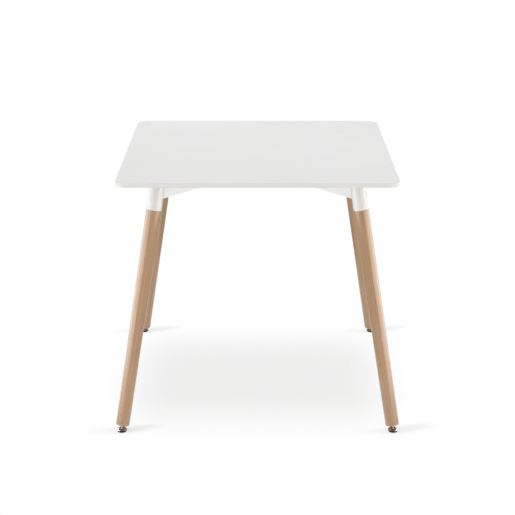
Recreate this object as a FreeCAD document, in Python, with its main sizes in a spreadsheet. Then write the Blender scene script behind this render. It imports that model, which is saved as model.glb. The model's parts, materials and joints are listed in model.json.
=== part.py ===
import FreeCAD, Part
import os
import Sketcher

# A square dining table: a thin lacquered top on a welded sheet-steel underframe, with four round
# legs that splay outwards on both axes and stand on swivel levelling feet.
# Lengths are millimetres. +Z is up, the floor is z = 0 and the origin lies under the middle of the top.

SIZES = (
    ("table_height", 760, "floor to the upper face of the top"),
    ("top_size", 800, "side of the square top"),
    ("top_thickness", 14, "thickness of the top"),
    ("top_corner_radius", 25, "rounding of the top's corners, seen from above"),
    ("top_edge_round", 3, "softening of the top's upper and lower edges"),
    ("frame_inset", 116, "edge of the top to a leg's axis, at the underside of the top"),
    ("foot_outset", 1.5, "how far the ball of a foot stands outside the edge of the top"),
    ("socket_length", 95, "along the leg's axis, from the underside of the top to the socket's mouth"),
    ("socket_mouth_diameter", 45, "outside of the socket at its mouth"),
    ("socket_top_diameter", 41, "outside of the socket at the underside of the top"),
    ("socket_wall", 2, "wall of the socket"),
    ("bulkhead_depth", 45, "socket's mouth to the wall that the leg's bolt passes through"),
    ("bulkhead_thickness", 4, "thickness of that wall"),
    ("leg_end_diameter", 40, "leg at its lower end"),
    ("leg_end_round", 2, "rounding of the leg's lower edge"),
    ("shoulder_setback", 0.25, "how far the leg's shoulder stands inside the socket's outline"),
    ("shoulder_ease", 0.6, "bevel on the leg's shoulder"),
    ("tenon_clearance", 0.25, "gap between the leg's tenon and the socket's wall"),
    ("tenon_relief", 2, "gap between the tenon's end and the socket's inner wall"),
    ("stud_diameter", 8, "hanger bolt"),
    ("stud_in_leg", 45, "length of hanger bolt inside the leg"),
    ("stud_point", 8, "length of the hanger bolt's tapered wood-screw point"),
    ("stud_proud", 3, "hanger bolt standing above its nut"),
    ("stud_clearance", 0.1, "gap round the hanger bolt"),
    ("nut_width", 13, "socket nut, across its flats"),
    ("nut_height", 6.5, "socket nut"),
    ("sheet_thickness", 2, "sheet steel of the rails"),
    ("rail_outset", 6, "leg's axis at the underside of the top to a rail's outer face"),
    ("rail_flange", 25, "width of a rail's top flange"),
    ("rail_mid_depth", 26, "depth of a rail in its middle"),
    ("rail_end_depth", 66, "depth of a rail at the leg's axis"),
    ("rail_taper_length", 130, "leg's axis to the end of a rail's taper"),
    ("rail_kink_radius", 40, "rounding where the taper meets the straight edge"),
    ("rail_bend_inner", 1, "inner radius of the fold between a rail's web and flange"),
    ("rail_screw_line", 14, "a rail's outer face to its line of screws"),
    ("rail_screw_end", 40, "end of a rail's flange to its first screw"),
    ("weld_gap", 0.2, "gap that the weld fills between rail, socket and plate"),
    ("plate_thickness", 3, "corner plate"),
    ("plate_inner", 50, "leg's axis to the plate's two inner edges"),
    ("plate_outer", 23, "leg's axis to the plate's two outer edges"),
    ("plate_corner_radius", 8, "rounding of the plate's corners"),
    ("plate_screw_edge", 12, "plate's inner edge to its nearest screw"),
    ("plate_screw_side", 14, "leg's axis to the same screw, along that edge"),
    ("screw_diameter", 4.5, "shank of the screws into the top"),
    ("screw_length", 12, "screw under its head"),
    ("screw_head_diameter", 9, "screw head where it bears on the steel"),
    ("screw_crown_diameter", 6.4, "flat crown of the screw head"),
    ("screw_head_height", 2.8, "screw head"),
    ("screw_clearance", 0.25, "gap round a screw in the steel"),
    ("pilot_clearance", 0.05, "gap round a screw in the top"),
    ("pilot_relief", 1, "pilot hole beyond the screw's tip"),
    ("pad_floor", 1.4, "foot pad under the ball"),
    ("pad_diameter", 26.4, "foot pad on the floor"),
    ("pad_toe", 0.8, "bevel round the foot pad's lower edge"),
    ("pad_rim_diameter", 30.4, "foot pad at its rim"),
    ("pad_rim_height", 7, "floor to the foot pad's rim"),
    ("pad_hub_diameter", 21, "hub of the foot pad inside the dome"),
    ("pad_grip", 2.5, "middle of the ball to the top of the hub that grips it"),
    ("ball_diameter", 10, "ball at the lower end of the foot stem"),
    ("ball_clearance", 0.1, "gap between ball and pad"),
    ("dome_diameter", 31, "foot dome at its rim"),
    ("dome_height", 4.8, "foot dome from rim to crown"),
    ("dome_crown_radius", 9, "rounding of the foot dome, seen from the side"),
    ("dome_wall", 1, "wall of the foot dome"),
    ("dome_hole_diameter", 12.4, "hole in the dome's crown, which lets the stem tilt"),
    ("neck_diameter", 6, "foot stem above its ball"),
    ("neck_length", 9, "middle of the ball to the threaded part of the stem"),
    ("stem_diameter", 8, "threaded part of the foot stem"),
    ("stem_show", 8.6, "stem between the dome's crown and the leg"),
    ("stem_engaged", 34, "stem inside the leg"),
    ("stem_bevel", 1, "bevel at the stem's upper end"),
    ("stem_clearance", 0.05, "gap between stem and insert"),
    ("insert_diameter", 12, "barrel of the threaded insert in the leg's end"),
    ("insert_length", 25, "threaded insert"),
    ("insert_flange_diameter", 18, "flange of the threaded insert"),
    ("insert_flange_thickness", 1.5, "flange of the threaded insert"),
    ("insert_clearance", 0.05, "gap round the insert in the leg"),
    ("well_relief", 8, "room above the stem, for screwing the foot in"),
)

# The four corners with the signs of their X and Y, and the quarter turns that bring a piece drawn at
# the back right corner, or on the front side, to the others.
CORNERS = {"front_left": (-1, -1), "front_right": (1, -1), "back_right": (1, 1), "back_left": (-1, 1)}
CORNER_TURNS = {"back_right": 0, "back_left": 90, "front_left": 180, "front_right": 270}
SIDE_TURNS = {"front": 0, "right": 90, "back": 180, "left": 270}
SIDE_CORNERS = {
    "front": ("front_left", "front_right"),
    "right": ("front_right", "back_right"),
    "back": ("back_right", "back_left"),
    "left": ("back_left", "front_left"),
}

OVERRUN = 10      # how far a cutting shape reaches past the solid that it cuts
MATCH = 0.001     # two points closer than this are the same point

doc = FreeCAD.newDocument("dining_table")
sheet = doc.addObject("Spreadsheet::Sheet", "sheet")
for row, (alias, size, meaning) in enumerate(SIZES, start=1):
    sheet.set(f"A{row}", meaning)
    sheet.set(f"B{row}", str(size))
    sheet.setAlias(f"B{row}", alias)
doc.recompute()

# Heights above the floor, and half spacings of the legs.
UNDERSIDE = "(sheet.table_height - sheet.top_thickness)"
BALL_HEIGHT = "(sheet.pad_floor + sheet.ball_diameter / 2 + sheet.ball_clearance)"
DOME_TOP = "(sheet.pad_rim_height + sheet.dome_height)"
FRAME_HALF = "(sheet.top_size / 2 - sheet.frame_inset)"
FOOT_HALF = "(sheet.top_size / 2 + sheet.foot_outset)"

# A leg's axis leans inwards along the table's diagonal. Distances along it start at the ball of the foot.
LEG_TILT = f"atan(sqrt(2) * ({FOOT_HALF} - {FRAME_HALF}) / ({UNDERSIDE} - {BALL_HEIGHT}))"
AXIS_LENGTH = f"(({UNDERSIDE} - {BALL_HEIGHT}) / cos({LEG_TILT}))"
LEG_END = f"({DOME_TOP} - {BALL_HEIGHT} + sheet.stem_show)"
INSERT_TOP = f"({LEG_END} + sheet.insert_length)"
STEM_TOP = f"({LEG_END} + sheet.stem_engaged)"
WELL_TOP = f"({STEM_TOP} + sheet.well_relief)"
MOUTH = f"({AXIS_LENGTH} - sheet.socket_length)"
BULKHEAD = f"({MOUTH} + sheet.bulkhead_depth)"
BULKHEAD_TOP = f"({BULKHEAD} + sheet.bulkhead_thickness)"
TENON_TOP = f"({BULKHEAD} - sheet.tenon_relief)"
STUD_BOTTOM = f"({TENON_TOP} - sheet.stud_in_leg)"
STUD_TOP = f"({BULKHEAD_TOP} + sheet.nut_height + sheet.stud_proud)"
SOCKET_END = f"({AXIS_LENGTH} + {OVERRUN})"

STUD_BORE = "(sheet.stud_diameter / 2 + sheet.stud_clearance)"
INSERT_BORE = "(sheet.insert_diameter / 2 + sheet.insert_clearance)"
FLANGE_BORE = "(sheet.insert_flange_diameter / 2 + sheet.insert_clearance)"
STEM_BORE = "(sheet.stem_diameter / 2 + sheet.stem_clearance)"
BALL_CUP = "(sheet.ball_diameter / 2 + sheet.ball_clearance)"

# A rail's outer face, the end of its flange and its screws, for the rail on the front side.
RAIL_FACE = f"({FRAME_HALF} + sheet.rail_outset)"
RAIL_KINK = f"({FRAME_HALF} - sheet.rail_taper_length)"
RAIL_SCREW_X = f"({FRAME_HALF} - sheet.plate_inner - sheet.weld_gap - sheet.rail_screw_end)"
RAIL_SCREW_Y = f"(sheet.rail_screw_line - {RAIL_FACE})"
RAIL_SCREWS = ((f"-{RAIL_SCREW_X}", RAIL_SCREW_Y), ("0", RAIL_SCREW_Y), (RAIL_SCREW_X, RAIL_SCREW_Y))

# A corner plate's screws, measured from the leg's axis at the back right corner.
PLATE_SCREW_EDGE = "(sheet.plate_screw_edge - sheet.plate_inner)"
PLATE_SCREW_SIDE = "(-sheet.plate_screw_side)"
PLATE_SCREWS = ((PLATE_SCREW_EDGE, PLATE_SCREW_SIDE), (PLATE_SCREW_SIDE, PLATE_SCREW_EDGE))


def value(expression):
    """Work out an expression on the sheet's sizes."""
    result = sheet.evalExpression(expression)
    return float(getattr(result, "Value", result))


def socket_radius(distance):
    """Outside of the flared socket, at a distance along the leg's axis."""
    flare = "(sheet.socket_mouth_diameter - sheet.socket_top_diameter) / 2 / sheet.socket_length"
    return f"(sheet.socket_mouth_diameter / 2 - ({distance} - {MOUTH}) * {flare})"


def make(kind, name, **sizes):
    """Add an object, with each of its sizes bound to an expression."""
    thing = doc.addObject(kind, name)
    for size, expression in sizes.items():
        thing.setExpression(size, expression)
    return thing


def new_sketch(body, name, plane, height="0"):
    """Start a sketch on one of the body's own planes, moved along that plane's normal."""
    sketch = body.newObject("Sketcher::SketchObject", name)
    support = [feature for feature in body.Origin.OriginFeatures if feature.Role == plane]
    sketch.AttachmentSupport = (support[0], [""])
    sketch.MapMode = "FlatFace"
    sketch.setExpression("AttachmentOffset.Base.z", height)
    return sketch


def pin_point(sketch, edge, end, across, up):
    """Dimension a point of the sketch from its origin."""
    for direction, expression in (("DistanceX", across), ("DistanceY", up)):
        index = sketch.addConstraint(Sketcher.Constraint(direction, edge, end, value(expression)))
        sketch.setExpression(f"Constraints[{index}]", expression)


def arc_between(start, end, radius):
    """An arc from start to end. A positive radius runs anticlockwise, a negative one clockwise."""
    chord = end - start
    left = FreeCAD.Vector(-chord.y, chord.x, 0).normalize()
    reach = (radius ** 2 - (chord.Length / 2) ** 2) ** 0.5
    side = 1 if radius > 0 else -1
    centre = (start + end) * 0.5 + left * (side * reach)
    middle = centre - left * (side * abs(radius))
    return Part.Arc(start, middle, end)


def draw_outline(sketch, corners, arcs=None):
    """Draw a closed outline. `arcs` gives a signed radius to the edges that leave some of the corners."""
    arcs = arcs or {}
    points = [FreeCAD.Vector(value(across), value(up), 0) for across, up in corners]
    ends = []
    for index, start in enumerate(points):
        finish = points[(index + 1) % len(points)]
        if index in arcs:
            turn, radius = arcs[index]
            edge = sketch.addGeometry(arc_between(start, finish, turn * value(radius)))
            bend = sketch.addConstraint(Sketcher.Constraint("Radius", edge, value(radius)))
            sketch.setExpression(f"Constraints[{bend}]", radius)
            ends.append((1, 2) if turn > 0 else (2, 1))
        else:
            sketch.addGeometry(Part.LineSegment(start, finish))
            ends.append((1, 2))
    for index, (across, up) in enumerate(corners):
        following = (index + 1) % len(corners)
        sketch.addConstraint(Sketcher.Constraint("Coincident", index, ends[index][1], following, ends[following][0]))
        pin_point(sketch, index, ends[index][0], across, up)


def draw_circles(sketch, centres, radius):
    """Draw equal circles."""
    for across, up in centres:
        centre = FreeCAD.Vector(value(across), value(up), 0)
        edge = sketch.addGeometry(Part.Circle(centre, FreeCAD.Vector(0, 0, 1), value(radius)))
        bend = sketch.addConstraint(Sketcher.Constraint("Radius", edge, value(radius)))
        sketch.setExpression(f"Constraints[{bend}]", radius)
        pin_point(sketch, edge, 3, across, up)


def edges_at(feature, x=None, y=None, z=None):
    """Names of a feature's edges whose ends all lie at the given coordinates."""
    doc.recompute()
    wanted = [(axis, place) for axis, place in (("x", x), ("y", y), ("z", z)) if place is not None]
    names = []
    for index, edge in enumerate(feature.Shape.Edges, start=1):
        ends = [vertex.Point for vertex in edge.Vertexes]
        if all(abs(getattr(point, axis) - place) < MATCH for point in ends for axis, place in wanted):
            names.append(f"Edge{index}")
    return names


def dress_edges(body, kind, name, base, edges, size):
    """Fillet or chamfer some edges of a body's latest feature."""
    dressing = body.newObject(f"PartDesign::{kind}", name)
    dressing.Base = (base, edges)
    dressing.setExpression("Radius" if kind == "Fillet" else "Size", size)
    return dressing


def extrude(body, kind, sketch, length, reversed_way=False):
    """Pad or pocket a sketch."""
    feature = body.newObject(f"PartDesign::{kind}", f"{sketch.Name}_{kind.lower()}")
    feature.Profile = sketch
    feature.Reversed = reversed_way
    feature.setExpression("Length", length)
    return feature


def turned_body(name, corners, arcs=None):
    """A body turned about its own Z axis from half of its section."""
    body = doc.addObject("PartDesign::Body", name)
    section = new_sketch(body, f"{name}_section", "XZ_Plane")
    draw_outline(section, corners, arcs)
    turning = body.newObject("PartDesign::Revolution", f"{name}_turning")
    turning.Profile = section
    turning.ReferenceAxis = (section, ["V_Axis"])
    turning.Angle = 360
    return body


def place_on_axis(thing, corner, distance="0"):
    """Stand a piece on a leg's axis, its own origin at a distance above the ball of the foot."""
    side_x, side_y = CORNERS[corner]
    lean = FreeCAD.Rotation(FreeCAD.Vector(side_y, -side_x, 0), value(LEG_TILT))
    thing.Placement = FreeCAD.Placement(FreeCAD.Vector(), lean)
    thing.setExpression("Placement.Rotation.Angle", LEG_TILT)
    half_spacing = f"({FOOT_HALF} - {distance} * sin({LEG_TILT}) / sqrt(2))"
    thing.setExpression("Placement.Base.x", f"{side_x} * {half_spacing}")
    thing.setExpression("Placement.Base.y", f"{side_y} * {half_spacing}")
    thing.setExpression("Placement.Base.z", f"{BALL_HEIGHT} + {distance} * cos({LEG_TILT})")


def place_upright(thing, turn, x, y, z):
    """Stand a piece upright, turned about the vertical."""
    upright = FreeCAD.Rotation(FreeCAD.Vector(0, 0, 1), turn)
    thing.Placement = FreeCAD.Placement(FreeCAD.Vector(), upright)
    for axis, expression in (("x", x), ("y", y), ("z", z)):
        thing.setExpression(f"Placement.Base.{axis}", expression)


def cut(name, base, tool):
    """Take one solid away from another."""
    result = doc.addObject("Part::Cut", name)
    result.Base = base
    result.Tool = tool
    return result


def join(name, solids):
    """Join solids into one."""
    result = doc.addObject("Part::MultiFuse", name)
    result.Shapes = solids
    return result


def gather(name, solids):
    """Keep separate solids together in one node."""
    result = doc.addObject("Part::Compound", name)
    result.Links = solids
    return result


def make_table_top():
    """The board: a padded square with rounded corners, softened edges and blind pilot holes below."""
    body = doc.addObject("PartDesign::Body", "table_top")
    half = "sheet.top_size / 2"
    outline = new_sketch(body, "top_outline", "XY_Plane", UNDERSIDE)
    draw_outline(outline, [(f"{x} * {half}", f"{y} * {half}") for x, y in CORNERS.values()])
    board = extrude(body, "Pad", outline, "sheet.top_thickness")
    reach = value(half)
    uprights = [name for x, y in CORNERS.values() for name in edges_at(board, x=x * reach, y=y * reach)]
    rounded = dress_edges(body, "Fillet", "top_corners", board, uprights, "sheet.top_corner_radius")
    rims = edges_at(rounded, z=value("sheet.table_height")) + edges_at(rounded, z=value(UNDERSIDE))
    dress_edges(body, "Fillet", "top_edges", rounded, rims, "sheet.top_edge_round")
    plate_holes = [(f"{FRAME_HALF} + {x}", f"{FRAME_HALF} + {y}") for x, y in PLATE_SCREWS]
    pilots = new_sketch(body, "top_pilots", "XY_Plane", UNDERSIDE)
    draw_circles(pilots, (*RAIL_SCREWS, *plate_holes), "sheet.screw_diameter / 2 + sheet.pilot_clearance")
    depth = "sheet.screw_length - sheet.sheet_thickness + sheet.pilot_relief"
    drilled = extrude(body, "Pocket", pilots, depth, reversed_way=True)
    doc.recompute()
    pattern = body.newObject("PartDesign::PolarPattern", "top_pilot_pattern")
    pattern.Originals = [drilled]
    upright_axis = [feature for feature in body.Origin.OriginFeatures if feature.Role == "Z_Axis"]
    pattern.Axis = (upright_axis[0], [""])
    pattern.Angle = 360
    pattern.Occurrences = len(SIDE_TURNS)
    body.Tip = pattern
    return body


def make_corner_plate(corner):
    """The flat plate on top of a socket, with two screw holes in its inner part."""
    body = doc.addObject("PartDesign::Body", f"corner_plate_{corner}")
    inner = "-sheet.plate_inner"
    outer = "sheet.plate_outer"
    outline = new_sketch(body, f"plate_outline_{corner}", "XY_Plane")
    draw_outline(outline, [(inner, inner), (outer, inner), (outer, outer), (inner, outer)])
    blank = extrude(body, "Pad", outline, "sheet.plate_thickness")
    ends = (value(inner), value(outer))
    uprights = [name for x in ends for y in ends for name in edges_at(blank, x=x, y=y)]
    name = f"plate_corners_{corner}"
    dress_edges(body, "Fillet", name, blank, uprights, "sheet.plate_corner_radius")
    holes = new_sketch(body, f"plate_holes_{corner}", "XY_Plane")
    draw_circles(holes, PLATE_SCREWS, "sheet.screw_diameter / 2 + sheet.screw_clearance")
    extrude(body, "Pocket", holes, "sheet.plate_thickness", reversed_way=True)
    side_x, side_y = CORNERS[corner]
    height = f"{UNDERSIDE} - sheet.plate_thickness"
    place_upright(body, CORNER_TURNS[corner], f"{side_x} * {FRAME_HALF}", f"{side_y} * {FRAME_HALF}", height)
    return body


def make_socket(corner):
    """The flared tube that holds a leg, with an inner wall for its bolt, cut level under the plate."""
    wall = "sheet.socket_wall"
    blank = turned_body(f"socket_blank_{corner}", [
        (f"{socket_radius(MOUTH)} - {wall}", MOUTH),
        (socket_radius(MOUTH), MOUTH),
        (socket_radius(SOCKET_END), SOCKET_END),
        (f"{socket_radius(SOCKET_END)} - {wall}", SOCKET_END),
        (f"{socket_radius(BULKHEAD_TOP)} - {wall}", BULKHEAD_TOP),
        (STUD_BORE, BULKHEAD_TOP),
        (STUD_BORE, BULKHEAD),
        (f"{socket_radius(BULKHEAD)} - {wall}", BULKHEAD),
    ])
    place_on_axis(blank, corner)
    width = "2 * sheet.socket_mouth_diameter"
    above = make("Part::Box", f"above_socket_{corner}", Length=width, Width=width, Height=str(3 * OVERRUN))
    side_x, side_y = CORNERS[corner]
    low_x = f"{side_x} * {FRAME_HALF} - sheet.socket_mouth_diameter"
    low_y = f"{side_y} * {FRAME_HALF} - sheet.socket_mouth_diameter"
    place_upright(above, 0, low_x, low_y, f"{UNDERSIDE} - sheet.plate_thickness")
    return cut(f"socket_{corner}", blank, above)


def make_cope(corner):
    """What a rail's end is cut back by: the socket and the corner plate, larger by the weld's gap."""
    gap = "sheet.weld_gap"
    cone = make(
        "Part::Cone", f"cope_cone_{corner}",
        Radius1=f"{socket_radius(MOUTH)} + {gap}",
        Radius2=f"{socket_radius(SOCKET_END)} + {gap}",
        Height=f"{SOCKET_END} - {MOUTH}",
    )
    place_on_axis(cone, corner, MOUTH)
    width = f"sheet.plate_inner + sheet.plate_outer + 2 * {gap}"
    height = f"sheet.plate_thickness + {gap} + {OVERRUN}"
    slab = make("Part::Box", f"cope_slab_{corner}", Length=width, Width=width, Height=height)
    side_x, side_y = CORNERS[corner]
    inner = f"({FRAME_HALF} - sheet.plate_inner - {gap})"
    level = f"{UNDERSIDE} - sheet.plate_thickness - {gap}"
    place_upright(slab, CORNER_TURNS[corner], f"{side_x} * {inner}", f"{side_y} * {inner}", level)
    return join(f"cope_{corner}", [cone, slab])


def make_rail(side, copes):
    """A folded rail: an L section whose web is cut to a taper, then coped to the sockets at its ends."""
    body = doc.addObject("PartDesign::Body", f"rail_blank_{side}")
    face = f"-{RAIL_FACE}"
    back = f"sheet.sheet_thickness - {RAIL_FACE}"
    lip = f"sheet.rail_flange - {RAIL_FACE}"
    bottom = f"{UNDERSIDE} - sheet.rail_end_depth"
    flange_under = f"{UNDERSIDE} - sheet.sheet_thickness"
    section = new_sketch(body, f"rail_section_{side}", "YZ_Plane")
    draw_outline(section, [
        (face, bottom),
        (back, bottom),
        (back, flange_under),
        (lip, flange_under),
        (lip, UNDERSIDE),
        (face, UNDERSIDE),
    ])
    folded = extrude(body, "Pad", section, f"2 * {FRAME_HALF}")
    folded.SideType = "Symmetric"

    middle = f"{UNDERSIDE} - sheet.rail_mid_depth"
    below = f"{bottom} - {OVERRUN}"
    taper = new_sketch(body, f"rail_taper_{side}", "XZ_Plane")
    draw_outline(taper, [
        (f"-{FRAME_HALF}", below),
        (FRAME_HALF, below),
        (FRAME_HALF, bottom),
        (RAIL_KINK, middle),
        (f"-{RAIL_KINK}", middle),
        (f"-{FRAME_HALF}", bottom),
    ])
    tapered = extrude(body, "Pocket", taper, f"{RAIL_FACE} + {OVERRUN}", reversed_way=True)
    kink = value(RAIL_KINK)
    kinks = [name for x in (-kink, kink) for name in edges_at(tapered, x=x, z=value(middle))]
    eased = dress_edges(body, "Fillet", f"rail_kinks_{side}", tapered, kinks, "sheet.rail_kink_radius")
    fold = edges_at(eased, y=value(face), z=value(UNDERSIDE))
    outer = "sheet.rail_bend_inner + sheet.sheet_thickness"
    bent = dress_edges(body, "Fillet", f"rail_fold_{side}", eased, fold, outer)
    crease = edges_at(bent, y=value(back), z=value(flange_under))
    dress_edges(body, "Fillet", f"rail_crease_{side}", bent, crease, "sheet.rail_bend_inner")
    holes = new_sketch(body, f"rail_holes_{side}", "XY_Plane", UNDERSIDE)
    draw_circles(holes, RAIL_SCREWS, "sheet.screw_diameter / 2 + sheet.screw_clearance")
    extrude(body, "Pocket", holes, "sheet.sheet_thickness")
    place_upright(body, SIDE_TURNS[side], "0", "0", "0")

    ends = join(f"rail_ends_{side}", [copes[corner] for corner in SIDE_CORNERS[side]])
    return cut(f"rail_{side}", body, ends)


def make_leg(corner):
    """A turned leg: a tapered shaft, a shoulder under the socket, a tapered tenon and a bore at each end."""
    inner_wall = "(sheet.socket_wall + sheet.tenon_clearance)"
    shoulder = "sheet.socket_mouth_diameter / 2 - sheet.shoulder_setback"
    flange_top = f"{LEG_END} + sheet.insert_flange_thickness"
    body = turned_body(f"leg_{corner}", [
        (FLANGE_BORE, LEG_END),
        ("sheet.leg_end_diameter / 2", LEG_END),
        (shoulder, MOUTH),
        (f"{socket_radius(MOUTH)} - {inner_wall}", MOUTH),
        (f"{socket_radius(TENON_TOP)} - {inner_wall}", TENON_TOP),
        (STUD_BORE, TENON_TOP),
        (STUD_BORE, STUD_BOTTOM),
        ("0", STUD_BOTTOM),
        ("0", WELL_TOP),
        (STEM_BORE, WELL_TOP),
        (STEM_BORE, INSERT_TOP),
        (INSERT_BORE, INSERT_TOP),
        (INSERT_BORE, flange_top),
        (FLANGE_BORE, flange_top),
    ])
    turning = body.Tip
    toe = edges_at(turning, x=value("sheet.leg_end_diameter / 2"), z=value(LEG_END))
    rounded = dress_edges(body, "Fillet", f"leg_toe_{corner}", turning, toe, "sheet.leg_end_round")
    rim = edges_at(rounded, x=value(shoulder), z=value(MOUTH))
    dress_edges(body, "Chamfer", f"leg_shoulder_{corner}", rounded, rim, "sheet.shoulder_ease")
    place_on_axis(body, corner)
    return body


def make_stud(corner):
    """The hanger bolt: its wood-screw point in the leg, its machine thread in the socket's nut."""
    point_top = f"({STUD_BOTTOM} + sheet.stud_point)"
    shank = make(
        "Part::Cylinder", f"stud_shank_{corner}",
        Radius="sheet.stud_diameter / 2", Height=f"{STUD_TOP} - {point_top}",
    )
    place_on_axis(shank, corner, point_top)
    point = make(
        "Part::Cone", f"stud_point_{corner}",
        Radius1="sheet.stud_diameter / 8", Radius2="sheet.stud_diameter / 2", Height="sheet.stud_point",
    )
    place_on_axis(point, corner, STUD_BOTTOM)
    return join(f"stud_{corner}", [shank, point])


def make_nut(corner):
    """The nut that is welded to the socket's inner wall."""
    blank = make(
        "Part::Prism", f"nut_blank_{corner}",
        Circumradius="sheet.nut_width / sqrt(3)", Height="sheet.nut_height",
    )
    place_on_axis(blank, corner, BULKHEAD_TOP)
    bore = make("Part::Cylinder", f"nut_bore_{corner}", Radius=STUD_BORE, Height="sheet.nut_height")
    place_on_axis(bore, corner, BULKHEAD_TOP)
    return cut(f"nut_{corner}", blank, bore)


def make_insert(corner):
    """The flanged threaded insert in a leg's lower end, flush with the wood."""
    barrel = "sheet.insert_diameter / 2"
    flange = "sheet.insert_flange_diameter / 2"
    flange_top = f"{LEG_END} + sheet.insert_flange_thickness"
    body = turned_body(f"insert_{corner}", [
        (STEM_BORE, LEG_END),
        (flange, LEG_END),
        (flange, flange_top),
        (barrel, flange_top),
        (barrel, INSERT_TOP),
        (STEM_BORE, INSERT_TOP),
    ])
    place_on_axis(body, corner)
    return body


def make_foot_stem(corner):
    """The foot's threaded stem, necked in above the ball at its lower end."""
    ball = "sheet.ball_diameter / 2"
    neck = "sheet.neck_diameter / 2"
    thread = "sheet.stem_diameter / 2"
    body = turned_body(f"foot_stem_{corner}", [
        ("0", f"-{ball}"),
        (neck, f"sqrt(({ball}) ^ 2 - ({neck}) ^ 2)"),
        (neck, f"sheet.neck_length - ({thread} - {neck})"),
        (thread, "sheet.neck_length"),
        (thread, f"{STEM_TOP} - sheet.stem_bevel"),
        (f"{thread} - sheet.stem_bevel", STEM_TOP),
        ("0", STEM_TOP),
    ], arcs={0: (1, ball)})
    place_on_axis(body, corner)
    return body


def make_foot_pad(corner):
    """The foot's dark base, with the cup that grips the stem's ball."""
    toe = "sheet.pad_diameter / 2"
    rim = "sheet.pad_rim_diameter / 2"
    hub = "sheet.pad_hub_diameter / 2"
    hub_top = f"{BALL_HEIGHT} + sheet.pad_grip"
    body = turned_body(f"foot_pad_{corner}", [
        ("0", "0"),
        (f"{toe} - sheet.pad_toe", "0"),
        (toe, "sheet.pad_toe"),
        (rim, "sheet.pad_rim_height"),
        (hub, "sheet.pad_rim_height"),
        (hub, hub_top),
        (f"sqrt({BALL_CUP} ^ 2 - sheet.pad_grip ^ 2)", hub_top),
        ("0", "sheet.pad_floor"),
    ], arcs={6: (-1, BALL_CUP)})
    place_foot(body, corner)
    return body


def make_foot_dome(corner):
    """The foot's pressed metal cover, which stands on the pad's rim."""
    rim = "sheet.dome_diameter / 2"
    hole = "sheet.dome_hole_diameter / 2"
    wall = "sheet.dome_wall"
    body = turned_body(f"foot_dome_{corner}", [
        (f"{rim} - {wall}", "sheet.pad_rim_height"),
        (rim, "sheet.pad_rim_height"),
        (hole, DOME_TOP),
        (hole, f"{DOME_TOP} - {wall}"),
    ], arcs={1: (1, "sheet.dome_crown_radius"), 3: (-1, f"sheet.dome_crown_radius - {wall}")})
    place_foot(body, corner)
    return body


def place_foot(body, corner):
    """Stand a foot's level pieces on the floor, under the ball."""
    side_x, side_y = CORNERS[corner]
    place_upright(body, CORNER_TURNS[corner], f"{side_x} * {FOOT_HALF}", f"{side_y} * {FOOT_HALF}", "0")


def make_screws(name, steel, places):
    """A group of round-headed screws, driven up through the steel into the top."""
    screws = []
    for number, (x, y) in enumerate(places, start=1):
        shank = make(
            "Part::Cylinder", f"{name}_shank_{number}",
            Radius="sheet.screw_diameter / 2", Height="sheet.screw_length",
        )
        place_upright(shank, 0, x, y, f"{UNDERSIDE} - {steel}")
        head = make(
            "Part::Cone", f"{name}_head_{number}",
            Radius1="sheet.screw_crown_diameter / 2", Radius2="sheet.screw_head_diameter / 2",
            Height="sheet.screw_head_height",
        )
        place_upright(head, 0, x, y, f"{UNDERSIDE} - {steel} - sheet.screw_head_height")
        screws.append(join(f"{name}_{number}", [shank, head]))
    return gather(name, screws)


def quarter_turn(x, y, turn):
    """Turn a place by whole quarter turns about the table's middle."""
    for _ in range(turn // 90):
        x, y = f"-({y})", x
    return x, y


def build():
    """Make every node of the table, keyed by its name."""
    nodes = {"table_top": make_table_top()}
    copes = {corner: make_cope(corner) for corner in CORNERS}
    for side in SIDE_TURNS:
        nodes[f"rail_{side}"] = make_rail(side, copes)
    for corner in CORNERS:
        nodes[f"corner_plate_{corner}"] = make_corner_plate(corner)
        nodes[f"socket_{corner}"] = make_socket(corner)
        nodes[f"leg_{corner}"] = make_leg(corner)
        nodes[f"foot_stem_{corner}"] = make_foot_stem(corner)
        nodes[f"foot_dome_{corner}"] = make_foot_dome(corner)
        nodes[f"foot_pad_{corner}"] = make_foot_pad(corner)
    nodes["leg_studs"] = gather("leg_studs", [make_stud(corner) for corner in CORNERS])
    nodes["socket_nuts"] = gather("socket_nuts", [make_nut(corner) for corner in CORNERS])
    nodes["foot_inserts"] = gather("foot_inserts", [make_insert(corner) for corner in CORNERS])
    rail_places = [quarter_turn(x, y, turn) for turn in SIDE_TURNS.values() for x, y in RAIL_SCREWS]
    nodes["rail_screws"] = make_screws("rail_screws", "sheet.sheet_thickness", rail_places)
    corner_places = [(f"{FRAME_HALF} + {x}", f"{FRAME_HALF} + {y}") for x, y in PLATE_SCREWS]
    plate_places = [quarter_turn(x, y, turn) for turn in CORNER_TURNS.values() for x, y in corner_places]
    nodes["plate_screws"] = make_screws("plate_screws", "sheet.plate_thickness", plate_places)
    return nodes


def check(nodes):
    """Stop if any object failed, or a node holds no sound solid."""
    for thing in doc.Objects:
        if "Invalid" in thing.State or "Error" in thing.State:
            raise RuntimeError(f"{thing.Label} failed: {thing.State}")
    for name, thing in nodes.items():
        if thing.Shape.isNull() or not thing.Shape.isValid() or not thing.Shape.Solids:
            raise RuntimeError(f"{name} has no sound solid")
        print(f"{name}: {len(thing.Shape.Solids)} solids, {thing.Shape.Volume / 1000:.2f} cm3")


nodes = build()
doc.recompute()
check(nodes)
os.makedirs("parts", exist_ok=True)
for name, thing in nodes.items():
    thing.Label = name
    thing.Shape.exportStep(f"parts/{name}.step")
print(f"{len(nodes)} nodes, leg tilt {value(LEG_TILT):.3f} degrees")
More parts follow.
